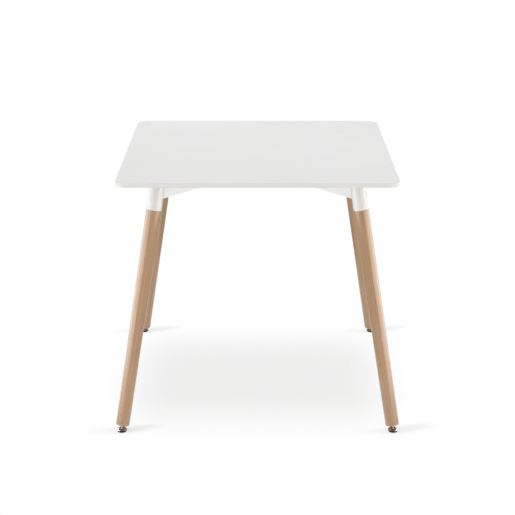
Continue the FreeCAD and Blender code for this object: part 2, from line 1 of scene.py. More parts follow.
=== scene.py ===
# %% [markdown]
# # A square dining table on splayed beech legs
# The packed model gives every piece of the table its true place and size. This lesson keeps that frame and
# models the pieces once more, as a maker would finish them: softened edges, a lip on each socket, painted
# weld beads, cut threads and crossed screw heads. Then it gives every surface a finish, and lights the table
# as a studio would. Lengths are metres, the floor is z = 0 and the front of the table faces -Y.

# %% Load the frame
import json
import math
import bmesh
import bpy
from mathutils import Euler, Matrix, Vector

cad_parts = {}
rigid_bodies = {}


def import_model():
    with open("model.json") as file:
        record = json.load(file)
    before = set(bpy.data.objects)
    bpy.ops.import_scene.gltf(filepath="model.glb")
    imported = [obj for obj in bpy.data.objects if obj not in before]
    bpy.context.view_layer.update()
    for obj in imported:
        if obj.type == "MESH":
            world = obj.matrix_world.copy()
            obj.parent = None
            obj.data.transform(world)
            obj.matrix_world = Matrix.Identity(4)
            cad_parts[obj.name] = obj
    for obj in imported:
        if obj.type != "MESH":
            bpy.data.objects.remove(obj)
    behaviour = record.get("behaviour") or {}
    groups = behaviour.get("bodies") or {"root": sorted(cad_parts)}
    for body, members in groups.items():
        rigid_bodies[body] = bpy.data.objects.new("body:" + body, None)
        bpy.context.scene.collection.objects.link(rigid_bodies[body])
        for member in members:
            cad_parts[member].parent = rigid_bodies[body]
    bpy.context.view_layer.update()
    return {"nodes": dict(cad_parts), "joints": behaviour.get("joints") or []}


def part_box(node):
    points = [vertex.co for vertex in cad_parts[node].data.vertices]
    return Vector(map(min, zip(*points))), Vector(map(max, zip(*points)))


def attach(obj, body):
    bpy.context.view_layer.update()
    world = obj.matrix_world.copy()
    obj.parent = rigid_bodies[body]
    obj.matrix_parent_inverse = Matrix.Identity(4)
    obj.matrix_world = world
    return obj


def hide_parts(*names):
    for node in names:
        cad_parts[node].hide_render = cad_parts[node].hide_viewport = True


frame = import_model()

# %% [markdown]
# ## Where the legs stand
# Each leg leans outwards on both axes. The record knows the lean, because the foot slides along its leg, and
# it knows where the foot's ball is, because the foot tilts about it. From these two we make a frame for each
# leg, with its origin in the ball and +Z up along the wood. A piece that is turned on a lathe can then be
# modelled upright at the world's origin, which is easy, and put in place by one matrix at the end.

# %% Leg frames, and heights along a leg
CORNERS = ("front_left", "front_right", "back_right", "back_left")
JOINTS = {joint["name"]: joint for joint in frame["joints"]}
UPRIGHT = Vector((0, 0, 1))


def leg_frame(corner):
    """A leg's own frame: the origin in the ball of its foot, and +Z up along the leg."""
    ball = Vector(JOINTS[f"foot_tilt_{corner}"]["pos_m"])
    up = -Vector(JOINTS[f"foot_adjust_{corner}"]["axis"])
    return Matrix.Translation(ball) @ UPRIGHT.rotation_difference(up).to_matrix().to_4x4()


def span_on_leg(node, corner):
    """Lowest and highest place of a CAD node along a leg."""
    inverse = leg_frame(corner).inverted()
    heights = [(inverse @ vertex.co).z for vertex in frame["nodes"][node].data.vertices]
    return min(heights), max(heights)


LEG_END, TENON_TOP = span_on_leg("leg_front_left", "front_left")
STEM_TOP = span_on_leg("foot_stem_front_left", "front_left")[1]
MOUTH = span_on_leg("socket_front_left", "front_left")[0]
PLATE_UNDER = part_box("corner_plate_front_left")[0].z
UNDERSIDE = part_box("table_top")[0].z
BALL_HEIGHT = leg_frame("front_left").translation.z
LEAN = UPRIGHT.angle(leg_frame("front_left").to_3x3() @ UPRIGHT)
print(f"lean {math.degrees(LEAN):.2f} degrees")
print(f"leg from {LEG_END:.4f} to its shoulder at {MOUTH:.4f} above the ball")

# %% [markdown]
# ## Finishes, written as expressions
# A procedural material is a small calculation on the place of each point. Wrapping a socket in a class that
# knows plus, minus and times lets us write that calculation in one readable line, and every operator adds
# its own Math node. Any other node comes from one method: its type, its settings, then its sockets. All the
# patterns read Object coordinates, which are the table's own metres because every object is at the origin.

# %% The class for shader values


class Value:
    """One output socket of a node tree. Operators on it add Math nodes."""

    def __init__(self, socket):
        self.socket = socket

    def node(self, kind, settings, inputs, output=0):
        """Add a node: its settings first, then the values or links of its sockets."""
        tree = self.socket.id_data
        added = tree.nodes.new(kind)
        for name, setting in settings.items():
            setattr(added, name, setting)
        for name, given in inputs.items():
            if isinstance(given, Value):
                tree.links.new(given.socket, added.inputs[name])
            else:
                added.inputs[name].default_value = given
        return Value(added.outputs[output])

    def math(self, operation, *values):
        """A Math node on some values."""
        return self.node("ShaderNodeMath", {"operation": operation}, dict(enumerate(values)))

    def __add__(self, other):
        return self.math("ADD", self, other)

    __radd__ = __add__

    def __sub__(self, other):
        return self.math("SUBTRACT", self, other)

    def __rsub__(self, other):
        return self.math("SUBTRACT", other, self)

    def __mul__(self, other):
        return self.math("MULTIPLY", self, other)

    __rmul__ = __mul__

    def __truediv__(self, other):
        return self.math("DIVIDE", self, other)

    def fraction(self):
        """What is left after the whole number."""
        return self.math("FRACT", self)

    def at_least(self, other):
        """The larger of two values."""
        return self.math("MAXIMUM", self, other)

    def ramp(self, low, high):
        """0 below low, 1 above high and a soft step between them."""
        limits = {"Value": self, "From Min": low, "From Max": high}
        return self.node("ShaderNodeMapRange", {"interpolation_type": "SMOOTHSTEP"}, limits)

    def vector(self, operation, other=(0, 0, 0), output=0):
        """A Vector Math node on coordinates and a point."""
        return self.node("ShaderNodeVectorMath", {"operation": operation}, {0: self, 1: other}, output)

    def stretched(self, x, y, z):
        """Coordinates multiplied along each axis."""
        return self.vector("MULTIPLY", (x, y, z))

    def distance_to(self, point):
        """Distance of coordinates from a point."""
        return self.vector("DISTANCE", point, 1)

    def along(self, axis):
        """One of the three numbers of coordinates."""
        return self.node("ShaderNodeSeparateXYZ", {}, {0: self}, "XYZ".index(axis))

    def seen_from(self, origin, rotation):
        """Coordinates in a frame with its own origin and turn."""
        inputs = {"Vector": self, "Location": origin, "Rotation": rotation}
        return self.node("ShaderNodeMapping", {"vector_type": "TEXTURE"}, inputs)

    def noise(self, scale, detail=2.0):
        """Soft noise on coordinates, about 0 to 1."""
        return self.node("ShaderNodeTexNoise", {}, {"Vector": self, "Scale": scale, "Detail": detail})

    def blend(self, first, second):
        """From the first colour at 0 to the second at 1."""
        return self.node("ShaderNodeMix", {"data_type": "RGBA"}, {0: self, 6: first, 7: second}, 2)


print("besides its operators a value has", ", ".join(name for name in vars(Value) if "__" not in name))

# %% [markdown]
# ## Starting a finish
# Every finish starts alike: a new material, its Principled shader with the sockets that stay constant, and
# the coordinates that its patterns read. What varies over the surface is then fed to a few sockets only,
# because those are the ones that can be baked into pictures later.

# %% Helpers for a finish


def new_finish(name, **constants):
    """A material with its constant sockets set, its Principled shader and its Object coordinates."""
    material = bpy.data.materials.new(name)
    material.use_nodes = True
    shader = material.node_tree.nodes["Principled BSDF"]
    for socket, setting in constants.items():
        shader.inputs[socket.replace("_", " ")].default_value = setting
    coordinates = material.node_tree.nodes.new("ShaderNodeTexCoord").outputs["Object"]
    print("finish:", name, constants)
    return material, shader, Value(coordinates)


def feed(shader, socket, value):
    """Link a value to one of the shader's sockets."""
    shader.id_data.links.new(value.socket, shader.inputs[socket])


def bump(shader, height, distance):
    """Give a shader a fine relief. The distance is in metres."""
    feed(shader, "Normal", height.node("ShaderNodeBump", {}, {"Height": height, "Distance": distance}))


def rgb(red, green, blue):
    """A linear colour as a shader socket takes it."""
    return (red, green, blue, 1.0)


print("a finish starts from a Principled shader and Object coordinates")

# %% [markdown]
# ## The white lacquer of the top
# The top is an MDF board with a sprayed satin lacquer. Sprayed paint is never quite flat: it has a faint
# orange peel a few millimetres across, it is a shade thinner here and there, and wiping leaves it a little
# shinier in long soft patches. All three are noise at different scales, each kept very weak, because from a
# step away the top must still read as one clean white. The board's edge is painted a shade darker and warmer
# than its face: that is painted shade, for the shade that the rounded edge takes under the lamps. The height
# of a point tells which of the two it belongs to.

# %% White lacquer
LACQUER_THIN = rgb(0.79, 0.79, 0.785)
LACQUER_FULL = rgb(0.82, 0.82, 0.815)
# painted shade: the edge's tone is darker and warmer than the face's, for the shade the edge takes
LACQUER_EDGE_PAINTED_SHADE = rgb(0.757, 0.742, 0.718)
BOARD_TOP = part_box("table_top")[1].z
EDGE_SHADE_FADE = (BOARD_TOP - 0.0022, BOARD_TOP - 0.0006)    # where the edge's tone gives way to the face's
ORANGE_PEEL_DEPTH = 0.00004


def make_white_lacquer():
    """Satin sprayed lacquer on a smooth board, with painted shade on its edge."""
    material, shader, here = new_finish("satin_lacquer", Specular_IOR_Level=0.45)
    cloud = here.noise(3.0, detail=3.0)
    face = cloud.ramp(0.3, 0.7).blend(LACQUER_THIN, LACQUER_FULL)
    # painted shade: points below the face take the edge's darker, warmer tone
    feed(shader, "Base Color", here.along("Z").ramp(*EDGE_SHADE_FADE).blend(LACQUER_EDGE_PAINTED_SHADE, face))
    wiped = here.stretched(1.0, 6.0, 6.0).noise(4.0, detail=4.0)
    dust = here.noise(900.0)
    feed(shader, "Roughness", 0.34 + 0.10 * wiped + 0.06 * dust)
    bump(shader, here.noise(330.0, detail=3.0), ORANGE_PEEL_DEPTH)
    return material


white_lacquer = make_white_lacquer()

# %% [markdown]
# ## The powder coat of the steel
# Powder is melted on, so it flows into small soft pebbles, about half a millimetre across. The rails and
# plates are a clean matt white, painted whiter than the paint on the sockets: painted light, for the light
# they lack in their shade under the top. The sockets are painted a darker, warmer white: painted shade,
# warmed like a painted reflection. They have a glossy top coat that shows the lights on both their sides as
# bright bands. One recipe makes both, because only tone and shine differ.

# %% White powder coats
# painted light: the rails, plates and beads are painted whiter, to brighten them in their shade under the top
RAIL_WHITES_PAINTED_LIGHT = (rgb(0.92, 0.92, 0.918), rgb(0.94, 0.94, 0.938))
# painted shade: the sockets are painted darker and warmer, with the warm tone of a painted reflection
SOCKET_WHITES_PAINTED_SHADE = (rgb(0.79, 0.77, 0.74), rgb(0.81, 0.79, 0.76))
RAIL_DULLNESS = 0.36
SOCKET_DULLNESS = 0.22
PEBBLE_DEPTH = 0.00003


def make_powder_coat(name, whites, dullness, **constants):
    """Baked powder with a fine pebble, between two close tones, which carry painted light on the rails and
    painted shade on the sockets.
    """
    material, shader, here = new_finish(name, **constants)
    tone = here.noise(14.0, detail=3.0)
    feed(shader, "Base Color", tone.ramp(0.3, 0.7).blend(*whites))
    pebble = here.noise(1500.0, detail=1.0)
    feed(shader, "Roughness", dullness + 0.14 * pebble)
    bump(shader, pebble + 0.5 * here.noise(420.0), PEBBLE_DEPTH)
    return material


white_powder_coat = make_powder_coat("powder_coat", RAIL_WHITES_PAINTED_LIGHT, RAIL_DULLNESS, Specular_IOR_Level=0.3)
socket_coat = make_powder_coat(
    "socket_coat", SOCKET_WHITES_PAINTED_SHADE, SOCKET_DULLNESS, Coat_Weight=0.35, Coat_Roughness=0.2,
)

# %% [markdown]
# ## Beech, one piece of wood for each leg
# Beech is pale pinkish brown. Its yearly rings show as broad faint bands, its fibres as fine streaks along
# the leg, and the surest sign of beech is its flecks: thousands of short dark dashes, about a third of a
# millimetre wide and two or three long. A turned leg cuts through flat rings, so the bands close into long
# points on its front and run straight on its sides. A solid pattern does this by itself: the rings are
# distances from a pith line well outside the leg. A Mapping node turns the pattern to lie along the lean,
# and each leg has its own pith line, so that no two legs show the same grain.

# %% Beech
RING_WIDTH = 0.0031
RING_DRIFT = 0.016                  # how far the rings wander off their circles
PITH_DISTANCE = 0.075
PITH_ANGLE = 50                     # degrees round the first leg
PITH_TURN = 83                      # degrees more for each further leg
BOARD_STEP = 0.9                    # metres along the board from one leg's wood to the next
BEECH_PALE = rgb(0.517, 0.318, 0.179)
BEECH_DEEP = rgb(0.376, 0.212, 0.108)
BEECH_FLECK = rgb(0.244, 0.132, 0.066)
GRAIN_DEPTH = 0.00005


def make_beech(corner):
    """Lacquered beech whose grain runs along one of the legs."""
    name = f"turned_beech_{corner}"
    material, shader, here = new_finish(name, Specular_IOR_Level=0.25, Coat_Weight=1.0, Coat_Roughness=0.2)
    lean = leg_frame(corner)
    number = CORNERS.index(corner)
    angle = math.radians(PITH_ANGLE + PITH_TURN * number)
    pith = (PITH_DISTANCE * math.cos(angle), PITH_DISTANCE * math.sin(angle), BOARD_STEP * number)
    board = here.seen_from(lean.translation, lean.to_euler()).vector("SUBTRACT", pith)
    distance = board.stretched(1.0, 1.0, 0.0).distance_to((0, 0, 0))
    drift = board.stretched(9.0, 9.0, 1.6).noise(1.0, detail=3.0)
    ring = ((distance + RING_DRIFT * drift) / RING_WIDTH).fraction()
    late_wood = ring.ramp(0.35, 0.92) * (1 - ring.ramp(0.94, 1.0))
    fibre = board.stretched(900.0, 900.0, 14.0).noise(1.0, detail=3.0)
    broad = board.stretched(26.0, 26.0, 1.1).noise(1.0)
    dash = board.stretched(1500.0, 1500.0, 210.0).noise(1.0, detail=1.0)
    fleck = dash.ramp(0.60, 0.72)
    tone = 0.30 * late_wood + 0.55 * fibre.ramp(0.30, 0.72) + 0.55 * broad.ramp(0.3, 0.7) - 0.2
    wood = tone.blend(BEECH_PALE, BEECH_DEEP)
    feed(shader, "Base Color", (0.55 * fleck).blend(wood, BEECH_FLECK))
    feed(shader, "Roughness", 0.30 + 0.14 * fibre + 0.08 * fleck)
    bump(shader, fibre - 0.6 * fleck, GRAIN_DEPTH)
    return material


beech = {corner: make_beech(corner) for corner in CORNERS}

# %% [markdown]
# ## Metals and the dark pad
# The hidden hardware is zinc plated: grey, with a faint straw and blue bloom. The foot's cover is nickel,
# almost a mirror but for fine scratches, and its colour is tinted warm brown: a painted reflection of the
# beech leg above it. The pad below it is moulded in a very dark brown plastic with a spark-eroded grain. A
# polished metal shows mostly what it reflects, so what varies here is mostly
# the roughness.

# %% Zinc, nickel and plastic
ZINC_BLUE = rgb(0.58, 0.60, 0.64)
ZINC_STRAW = rgb(0.66, 0.63, 0.56)
ZINC_GRAIN_DEPTH = 0.00001
# painted reflection: both nickel colours are tinted warm brown, as if mirroring the beech leg above
NICKEL_DEEP_PAINTED_REFLECTION = rgb(0.66, 0.56, 0.475)
NICKEL_PALE_PAINTED_REFLECTION = rgb(0.72, 0.61, 0.52)
SCRATCH_DEPTH = 0.000004
PLASTIC_CLEAN = rgb(0.022, 0.015, 0.011)
PLASTIC_DUSTY = rgb(0.035, 0.024, 0.018)
PLASTIC_GRAIN_DEPTH = 0.00002


def make_zinc_steel():
    """Bright zinc plate with a faint bloom."""
    material, shader, here = new_finish("zinc_plate", Metallic=1.0)
    bloom = here.noise(240.0, detail=3.0)
    feed(shader, "Base Color", bloom.ramp(0.35, 0.65).blend(ZINC_BLUE, ZINC_STRAW))
    feed(shader, "Roughness", 0.26 + 0.18 * here.noise(1800.0, detail=3.0))
    bump(shader, here.noise(2600.0), ZINC_GRAIN_DEPTH)
    return material


def make_bright_nickel():
    """Polished nickel plate with fine scratches, tinted warm brown as a painted reflection of the beech
    above.
    """
    material, shader, here = new_finish("nickel_plate", Metallic=1.0)
    veil = here.noise(300.0, detail=3.0)
    feed(shader, "Base Color", veil.ramp(0.3, 0.7).blend(NICKEL_DEEP_PAINTED_REFLECTION, NICKEL_PALE_PAINTED_REFLECTION))
    scratch = here.stretched(900.0, 900.0, 9000.0).noise(1.0)
    feed(shader, "Roughness", 0.07 + 0.12 * scratch.ramp(0.45, 0.75))
    bump(shader, scratch, SCRATCH_DEPTH)
    return material


def make_dark_plastic():
    """Very dark brown moulded plastic with a fine grain."""
    material, shader, here = new_finish("moulded_plastic", Specular_IOR_Level=0.1)
    grain = here.noise(4000.0, detail=1.0)
    dusty = here.noise(220.0, detail=3.0)
    feed(shader, "Base Color", dusty.ramp(0.4, 0.8).blend(PLASTIC_CLEAN, PLASTIC_DUSTY))
    feed(shader, "Roughness", 0.42 + 0.16 * grain)
    bump(shader, grain, PLASTIC_GRAIN_DEPTH)
    return material


zinc_steel = make_zinc_steel()
FINISHES = {
    "white_lacquer": white_lacquer,
    "white_powder_coat": white_powder_coat,
    "zinc_steel": zinc_steel,
    "bright_nickel": make_bright_nickel(),
    "dark_plastic": make_dark_plastic(),
}
print("slots with one finish each:", ", ".join(FINISHES))

# %% [markdown]
# ## Picking and shaping
# Blender's mesh operators work on what is selected, so every step starts with nothing selected and then picks
# faces, edges or vertices by where they are. In a window that is a click; here it is a test on every part of
# the mesh. A modifier is added, set up and applied in one go, so that the mesh we look at is the real one.

# %% Helpers for picking and shaping
SAME_PLACE = 1e-6       # vertices closer than this are one
CLOSE = 2e-5            # a vertex this close to a plane or a cone lies on it


def deselect():
    """Leave edit mode, with nothing selected."""
    if bpy.context.object and bpy.context.object.mode != "OBJECT":
        bpy.ops.object.mode_set(mode="OBJECT")
    bpy.ops.object.select_all(action="DESELECT")


def activate(piece):
    """Select one object and make it the active one."""
    deselect()
    piece.select_set(True)
    bpy.context.view_layer.objects.active = piece


def edit(piece):
    """Open a piece in edit mode."""
    activate(piece)
    bpy.ops.object.mode_set(mode="EDIT")


def pick(piece, kind, test):
    """In edit mode, select the vertices, edges or faces that pass a test."""
    bpy.ops.mesh.select_mode(type=kind)
    bpy.ops.mesh.select_all(action="DESELECT")
    mesh = bmesh.from_edit_mesh(piece.data)
    parts = {"VERT": mesh.verts, "EDGE": mesh.edges, "FACE": mesh.faces}[kind]
    for part in parts:
        if test(part):
            part.select_set(True)
    bmesh.update_edit_mesh(piece.data)


def both_ends(edge, test):
    """True if both vertices of an edge pass a test on their place."""
    return all(test(vertex.co) for vertex in edge.verts)


def new_piece(name):
    """Name the primitive that was just added, and apply its place and size."""
    piece = bpy.context.object
    piece.name = name
    piece.data.name = name
    bpy.ops.object.transform_apply(location=True, rotation=True, scale=True)
    return piece


def use_modifier(piece, kind, **settings):
    """Add a modifier, set it up and apply it."""
    activate(piece)
    modifier = piece.modifiers.new(kind.title(), kind)
    for name, setting in settings.items():
        setattr(modifier, name, setting)
    bpy.ops.object.modifier_apply(modifier=modifier.name)


print(f"parts are picked within {CLOSE * 1000:.2f} mm of where they should be")

# %% [markdown]
# ## Fitting a finished piece
# Every piece takes the same last steps: smooth shading that stops at sharp edges, normals that follow the
# large faces so that a small bevel catches the light cleanly, its finish, and a body of the model to ride
# on. One helper does all of that and says what it fitted.

# %% Helper that fits a piece
CREASE = math.radians(32)


def smooth(piece):
    """Smooth shading between sharp edges, with normals that follow the large faces."""
    activate(piece)
    bpy.ops.object.shade_smooth_by_angle(angle=CREASE)
    use_modifier(piece, "WEIGHTED_NORMAL", keep_sharp=True)


def report(piece):
    """Say what was made."""
    low, high = (Vector(piece.bound_box[0]), Vector(piece.bound_box[6]))
    size = " x ".join(f"{length * 1000:.1f}" for length in high - low)
    print(f"{piece.name}: {len(piece.data.polygons)} faces, {size} mm")


def fit(piece, body, slot, *nodes, finish=None):
    """Smooth a piece, give it its finish, let it stand for CAD nodes and let it ride on a body."""
    smooth(piece)
    piece.data.materials.clear()
    piece.data.materials.append(finish or FINISHES[slot])
    if nodes:
        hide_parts(*nodes)
    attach(piece, body)
    report(piece)


print(f"edges sharper than {math.degrees(CREASE):.0f} degrees stay sharp")

# %% [markdown]
# ## The table top
# The board is a flat box whose four upright edges are rounded, and whose upper and lower rims are softened
# so that the lacquer holds on them. A cube does for a start. Two bevels in the right order give the shape:
# the uprights first, with the large radius, then the rims, which by then run round the corners in one loop.

# %% Table top
TOP_CORNER_RADIUS = 0.033
TOP_CORNER_SEGMENTS = 24
TOP_RIM_ROUND = 0.003
TOP_RIM_SEGMENTS = 8


def model_board(name, node, corner_radius, corner_segments, rim, rim_segments):
    """A flat box the size of a CAD node, with rounded upright edges and softened rims."""
    low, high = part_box(node)
    deselect()
    bpy.ops.mesh.primitive_cube_add(size=1, location=(low + high) / 2, scale=high - low)
    board = new_piece(name)
    edit(board)
    pick(board, "EDGE", lambda edge: abs(edge.verts[0].co.z - edge.verts[1].co.z) > CLOSE)
    bpy.ops.mesh.bevel(offset=corner_radius, segments=corner_segments)
    for level in (low.z, high.z):
        pick(board, "EDGE", lambda edge: both_ends(edge, lambda point: abs(point.z - level) < CLOSE))
        bpy.ops.mesh.bevel(offset=rim, segments=rim_segments)
    bpy.ops.object.mode_set(mode="OBJECT")
    return board


top_board = model_board(
    "lacquered_top", "table_top", TOP_CORNER_RADIUS, TOP_CORNER_SEGMENTS, TOP_RIM_ROUND, TOP_RIM_SEGMENTS,
)
fit(top_board, "table", "white_lacquer", "table_top")

# %% [markdown]
# ## Drawing and turning
# Round pieces start as half of their outline. It is drawn as by hand, by extruding a single vertex from point
# to point, its corners are rounded with a vertex bevel, and Spin carries it once round the axis, as a lathe
# does. The seam and the poles close when vertices in the same place are merged. Such a piece is a pattern: it
# is copied, each copy with a mesh of its own, and put on its leg.

# %% Helpers for drawing and turning
LATHE_STEPS = 96


def draw_outline(name, points, closed=False):
    """Draw edges in the XZ plane, and stay in edit mode."""
    deselect()
    bpy.ops.mesh.primitive_plane_add(size=1)
    piece = new_piece(name)
    edit(piece)
    bpy.ops.mesh.select_mode(type="VERT")
    bpy.ops.mesh.select_all(action="SELECT")
    bpy.ops.mesh.merge(type="CENTER")
    bpy.ops.transform.translate(value=(points[0][0], 0, points[0][1]))
    route = list(points) + [points[0]] * closed
    for start, end in zip(route, route[1:]):
        step = (end[0] - start[0], 0, end[1] - start[1])
        bpy.ops.mesh.extrude_region_move(TRANSFORM_OT_translate={"value": step})
    bpy.ops.mesh.select_all(action="SELECT")
    bpy.ops.mesh.remove_doubles(threshold=SAME_PLACE)
    return piece


def round_corner(piece, point, size, segments):
    """Round one corner of an outline, starting that far from it on both sides."""
    spot = Vector((point[0], 0, point[1]))
    pick(piece, "VERT", lambda vertex: (vertex.co - spot).length < CLOSE)
    bpy.ops.mesh.bevel(affect="VERTICES", offset=size, segments=segments)


def spin(steps=LATHE_STEPS):
    """Turn the outline that is being edited once round the Z axis, and close the seam."""
    bpy.ops.mesh.select_all(action="SELECT")
    bpy.ops.mesh.spin(steps=steps, angle=math.tau, center=(0, 0, 0), axis=UPRIGHT)
    bpy.ops.mesh.select_all(action="SELECT")
    bpy.ops.mesh.remove_doubles(threshold=SAME_PLACE)
    bpy.ops.mesh.normals_make_consistent(inside=False)
    bpy.ops.object.mode_set(mode="OBJECT")


def placed_copy(piece, name, matrix):
    """A copy with its own mesh, moved to its place, with the move applied to its mesh."""
    copy = piece.copy()
    copy.data = piece.data.copy()
    copy.name = name
    copy.data.name = name
    copy.parent = None
    bpy.context.scene.collection.objects.link(copy)
    activate(copy)
    copy.matrix_world = matrix
    bpy.ops.object.transform_apply(location=True, rotation=True, scale=True)
    return copy


def remove(*pieces):
    """Delete objects that were only patterns or cutters."""
    for piece in pieces:
        bpy.data.objects.remove(piece)


print("the lathe turns in", LATHE_STEPS, "steps")

# %% [markdown]
# ## The sockets
# A socket is a flared steel tube with a wall across its inside, where the leg's bolt passes. Its outline is
# a thin closed loop, so one turn on the lathe makes the tube, the inner wall and the bolt hole together. The
# lip at the mouth is rounded, because powder coat runs back from a sharp one. The tube is turned a little
# too long, put on its leaning axis, and cut level under the corner plate with Bisect, as a saw would.

# %% Sockets
SOCKET_MOUTH_RADIUS = 0.0225
SOCKET_FLARE = 0.002 / 0.095        # radius lost for each metre along the leg
SOCKET_WALL = 0.002
SOCKET_LIP = 0.0007
LIP_SEGMENTS = 4
SOCKET_END = MOUTH + 0.105          # end of the tube, before it is cut level
BULKHEAD = MOUTH + 0.045
BULKHEAD_TOP = BULKHEAD + 0.004
BOLT_BORE = 0.0041


def socket_radius(height):
    """Outside of a socket at a height along its leg."""
    return SOCKET_MOUTH_RADIUS - (height - MOUTH) * SOCKET_FLARE


def model_socket():
    """The turned tube, upright on the world's axis."""
    mouth_edge = (socket_radius(MOUTH), MOUTH)
    outline = [
        (socket_radius(MOUTH) - SOCKET_WALL, MOUTH),
        mouth_edge,
        (socket_radius(SOCKET_END), SOCKET_END),
        (socket_radius(SOCKET_END) - SOCKET_WALL, SOCKET_END),
        (socket_radius(BULKHEAD_TOP) - SOCKET_WALL, BULKHEAD_TOP),
        (BOLT_BORE, BULKHEAD_TOP),
        (BOLT_BORE, BULKHEAD),
        (socket_radius(BULKHEAD) - SOCKET_WALL, BULKHEAD),
    ]
    tube = draw_outline("socket_pattern", outline, closed=True)
    round_corner(tube, mouth_edge, SOCKET_LIP, LIP_SEGMENTS)
    spin()
    return tube


def cut_level(tube):
    """Saw a placed socket off level under its corner plate."""
    edit(tube)
    bpy.ops.mesh.select_all(action="SELECT")
    level = (0, 0, PLATE_UNDER)
    bpy.ops.mesh.bisect(plane_co=level, plane_no=UPRIGHT, clear_outer=True, use_fill=True)
    bpy.ops.object.mode_set(mode="OBJECT")


socket_pattern = model_socket()
sockets = {}
for corner in CORNERS:
    sockets[corner] = placed_copy(socket_pattern, f"flared_socket_{corner}", leg_frame(corner))
    cut_level(sockets[corner])
    fit(sockets[corner], "table", "white_powder_coat", f"socket_{corner}", finish=socket_coat)
remove(socket_pattern)

# %% [markdown]
# ## The rails
# Each rail is one strip of sheet steel, folded to an L: a web that faces outwards, deep at the sockets and
# shallow in the middle, and a flange that is screwed up against the top. We make it as the sheet-metal shop
# does. The web is drawn flat with its two kinks eased, its upper edge is extruded to make the flange, the
# fold gets its bend radius, and Solidify gives the sheet its thickness.

# %% Folded rail
SHEET = 0.002
RAIL_MID_DEPTH = 0.026
RAIL_END_DEPTH = 0.066
RAIL_KINK_INSET = 0.130             # leg's axis to the end of the taper
RAIL_KINK_EASE = 0.006              # length of the easing on each side of a kink
KINK_SEGMENTS = 8
RAIL_FOLD_RADIUS = 0.003
FOLD_SEGMENTS = 6
RAIL_DEBURR = 0.0003
DEBURR_SEGMENTS = 2
RAIL_LOW, RAIL_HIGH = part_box("rail_front")
RAIL_FACE = RAIL_LOW.y
RAIL_FLANGE = RAIL_HIGH.y - RAIL_LOW.y
UNDERSIDE_ON_LEG = (UNDERSIDE - BALL_HEIGHT) / math.cos(LEAN)
AXIS_HALF = (leg_frame("front_right") @ Vector((0, 0, UNDERSIDE_ON_LEG))).x     # half the legs' spacing


def draw_web():
    """The flat web of the front rail, still in edit mode."""
    kink = AXIS_HALF - RAIL_KINK_INSET
    bottom = UNDERSIDE - RAIL_END_DEPTH
    middle = UNDERSIDE - RAIL_MID_DEPTH
    outline = [
        (-AXIS_HALF, UNDERSIDE), (-AXIS_HALF, bottom), (-kink, middle),
        (kink, middle), (AXIS_HALF, bottom), (AXIS_HALF, UNDERSIDE),
    ]
    rail = draw_outline("rail_pattern", outline, closed=True)
    for corner_x in (-kink, kink):
        round_corner(rail, (corner_x, middle), RAIL_KINK_EASE, KINK_SEGMENTS)
    bpy.ops.mesh.select_all(action="SELECT")
    bpy.ops.mesh.edge_face_add()
    bpy.ops.transform.translate(value=(0, RAIL_FACE, 0))
    return rail


def on_upper_edge(point):
    """True along the upper edge of a rail."""
    return abs(point.z - UNDERSIDE) < CLOSE


def on_fold(point):
    """True along the fold between web and flange."""
    return on_upper_edge(point) and abs(point.y - RAIL_FACE) < CLOSE


def fold_flange(rail):
    """Draw the flange out of the web's upper edge, and round the fold."""
    pick(rail, "EDGE", lambda edge: both_ends(edge, on_upper_edge))
    bpy.ops.mesh.extrude_region_move(TRANSFORM_OT_translate={"value": (0, RAIL_FLANGE, 0)})
    pick(rail, "EDGE", lambda edge: both_ends(edge, on_fold))
    bpy.ops.mesh.bevel(offset=RAIL_FOLD_RADIUS, segments=FOLD_SEGMENTS)


def give_thickness(rail):
    """Turn the sheet's faces outwards, give it its thickness inwards and break its edges."""
    bpy.ops.mesh.select_all(action="SELECT")
    bpy.ops.mesh.normals_make_consistent(inside=False)
    bpy.ops.object.mode_set(mode="OBJECT")
    web = max(rail.data.polygons, key=lambda face: abs(face.normal.y))
    if web.normal.y > 0:
        rail.data.flip_normals()
    use_modifier(rail, "SOLIDIFY", thickness=SHEET, offset=-1.0)
    use_modifier(
        rail, "BEVEL", width=RAIL_DEBURR, segments=DEBURR_SEGMENTS, limit_method="ANGLE", angle_limit=CREASE,
    )


rail_pattern = draw_web()
fold_flange(rail_pattern)
give_thickness(rail_pattern)
report(rail_pattern)

# %% [markdown]
# ## Coping the rails
# A rail's ends have to fit the flared sockets, so they are coped: a Boolean takes away the socket and the
# corner plate, both a hair larger, which leaves the gap that the weld fills. The front rail is coped once,
# and its copies are turned about the vertical to the other three sides.

# %% Coped rails
WELD_GAP = 0.0002
SIDE_TURNS = {"front": 0, "right": 90, "back": 180, "left": 270}    # degrees about the vertical


def model_cope(corner):
    """Two cutters: the socket and the corner plate, both larger by the weld's gap."""
    outline = [
        (0, MOUTH),
        (socket_radius(MOUTH) + WELD_GAP, MOUTH),
        (socket_radius(SOCKET_END) + WELD_GAP, SOCKET_END),
        (0, SOCKET_END),
    ]
    upright = draw_outline("cope_pattern", outline)
    spin()
    cone = placed_copy(upright, f"cope_{corner}", leg_frame(corner))
    remove(upright)
    low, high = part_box(f"corner_plate_{corner}")
    grown = Vector((WELD_GAP, WELD_GAP, WELD_GAP))
    deselect()
    bpy.ops.mesh.primitive_cube_add(size=1, location=(low + high) / 2, scale=high - low + 2 * grown)
    return [cone, new_piece(f"cope_plate_{corner}")]


def cope_rail(rail):
    """Cut both ends of the front rail back to the sockets and plates."""
    cutters = model_cope("front_left") + model_cope("front_right")
    for cutter in cutters:
        use_modifier(rail, "BOOLEAN", object=cutter, operation="DIFFERENCE", solver="EXACT")
    remove(*cutters)


def quarter_turn(side):
    """The turn about the vertical that brings the front side to another side."""
    return Matrix.Rotation(math.radians(SIDE_TURNS[side]), 4, "Z")


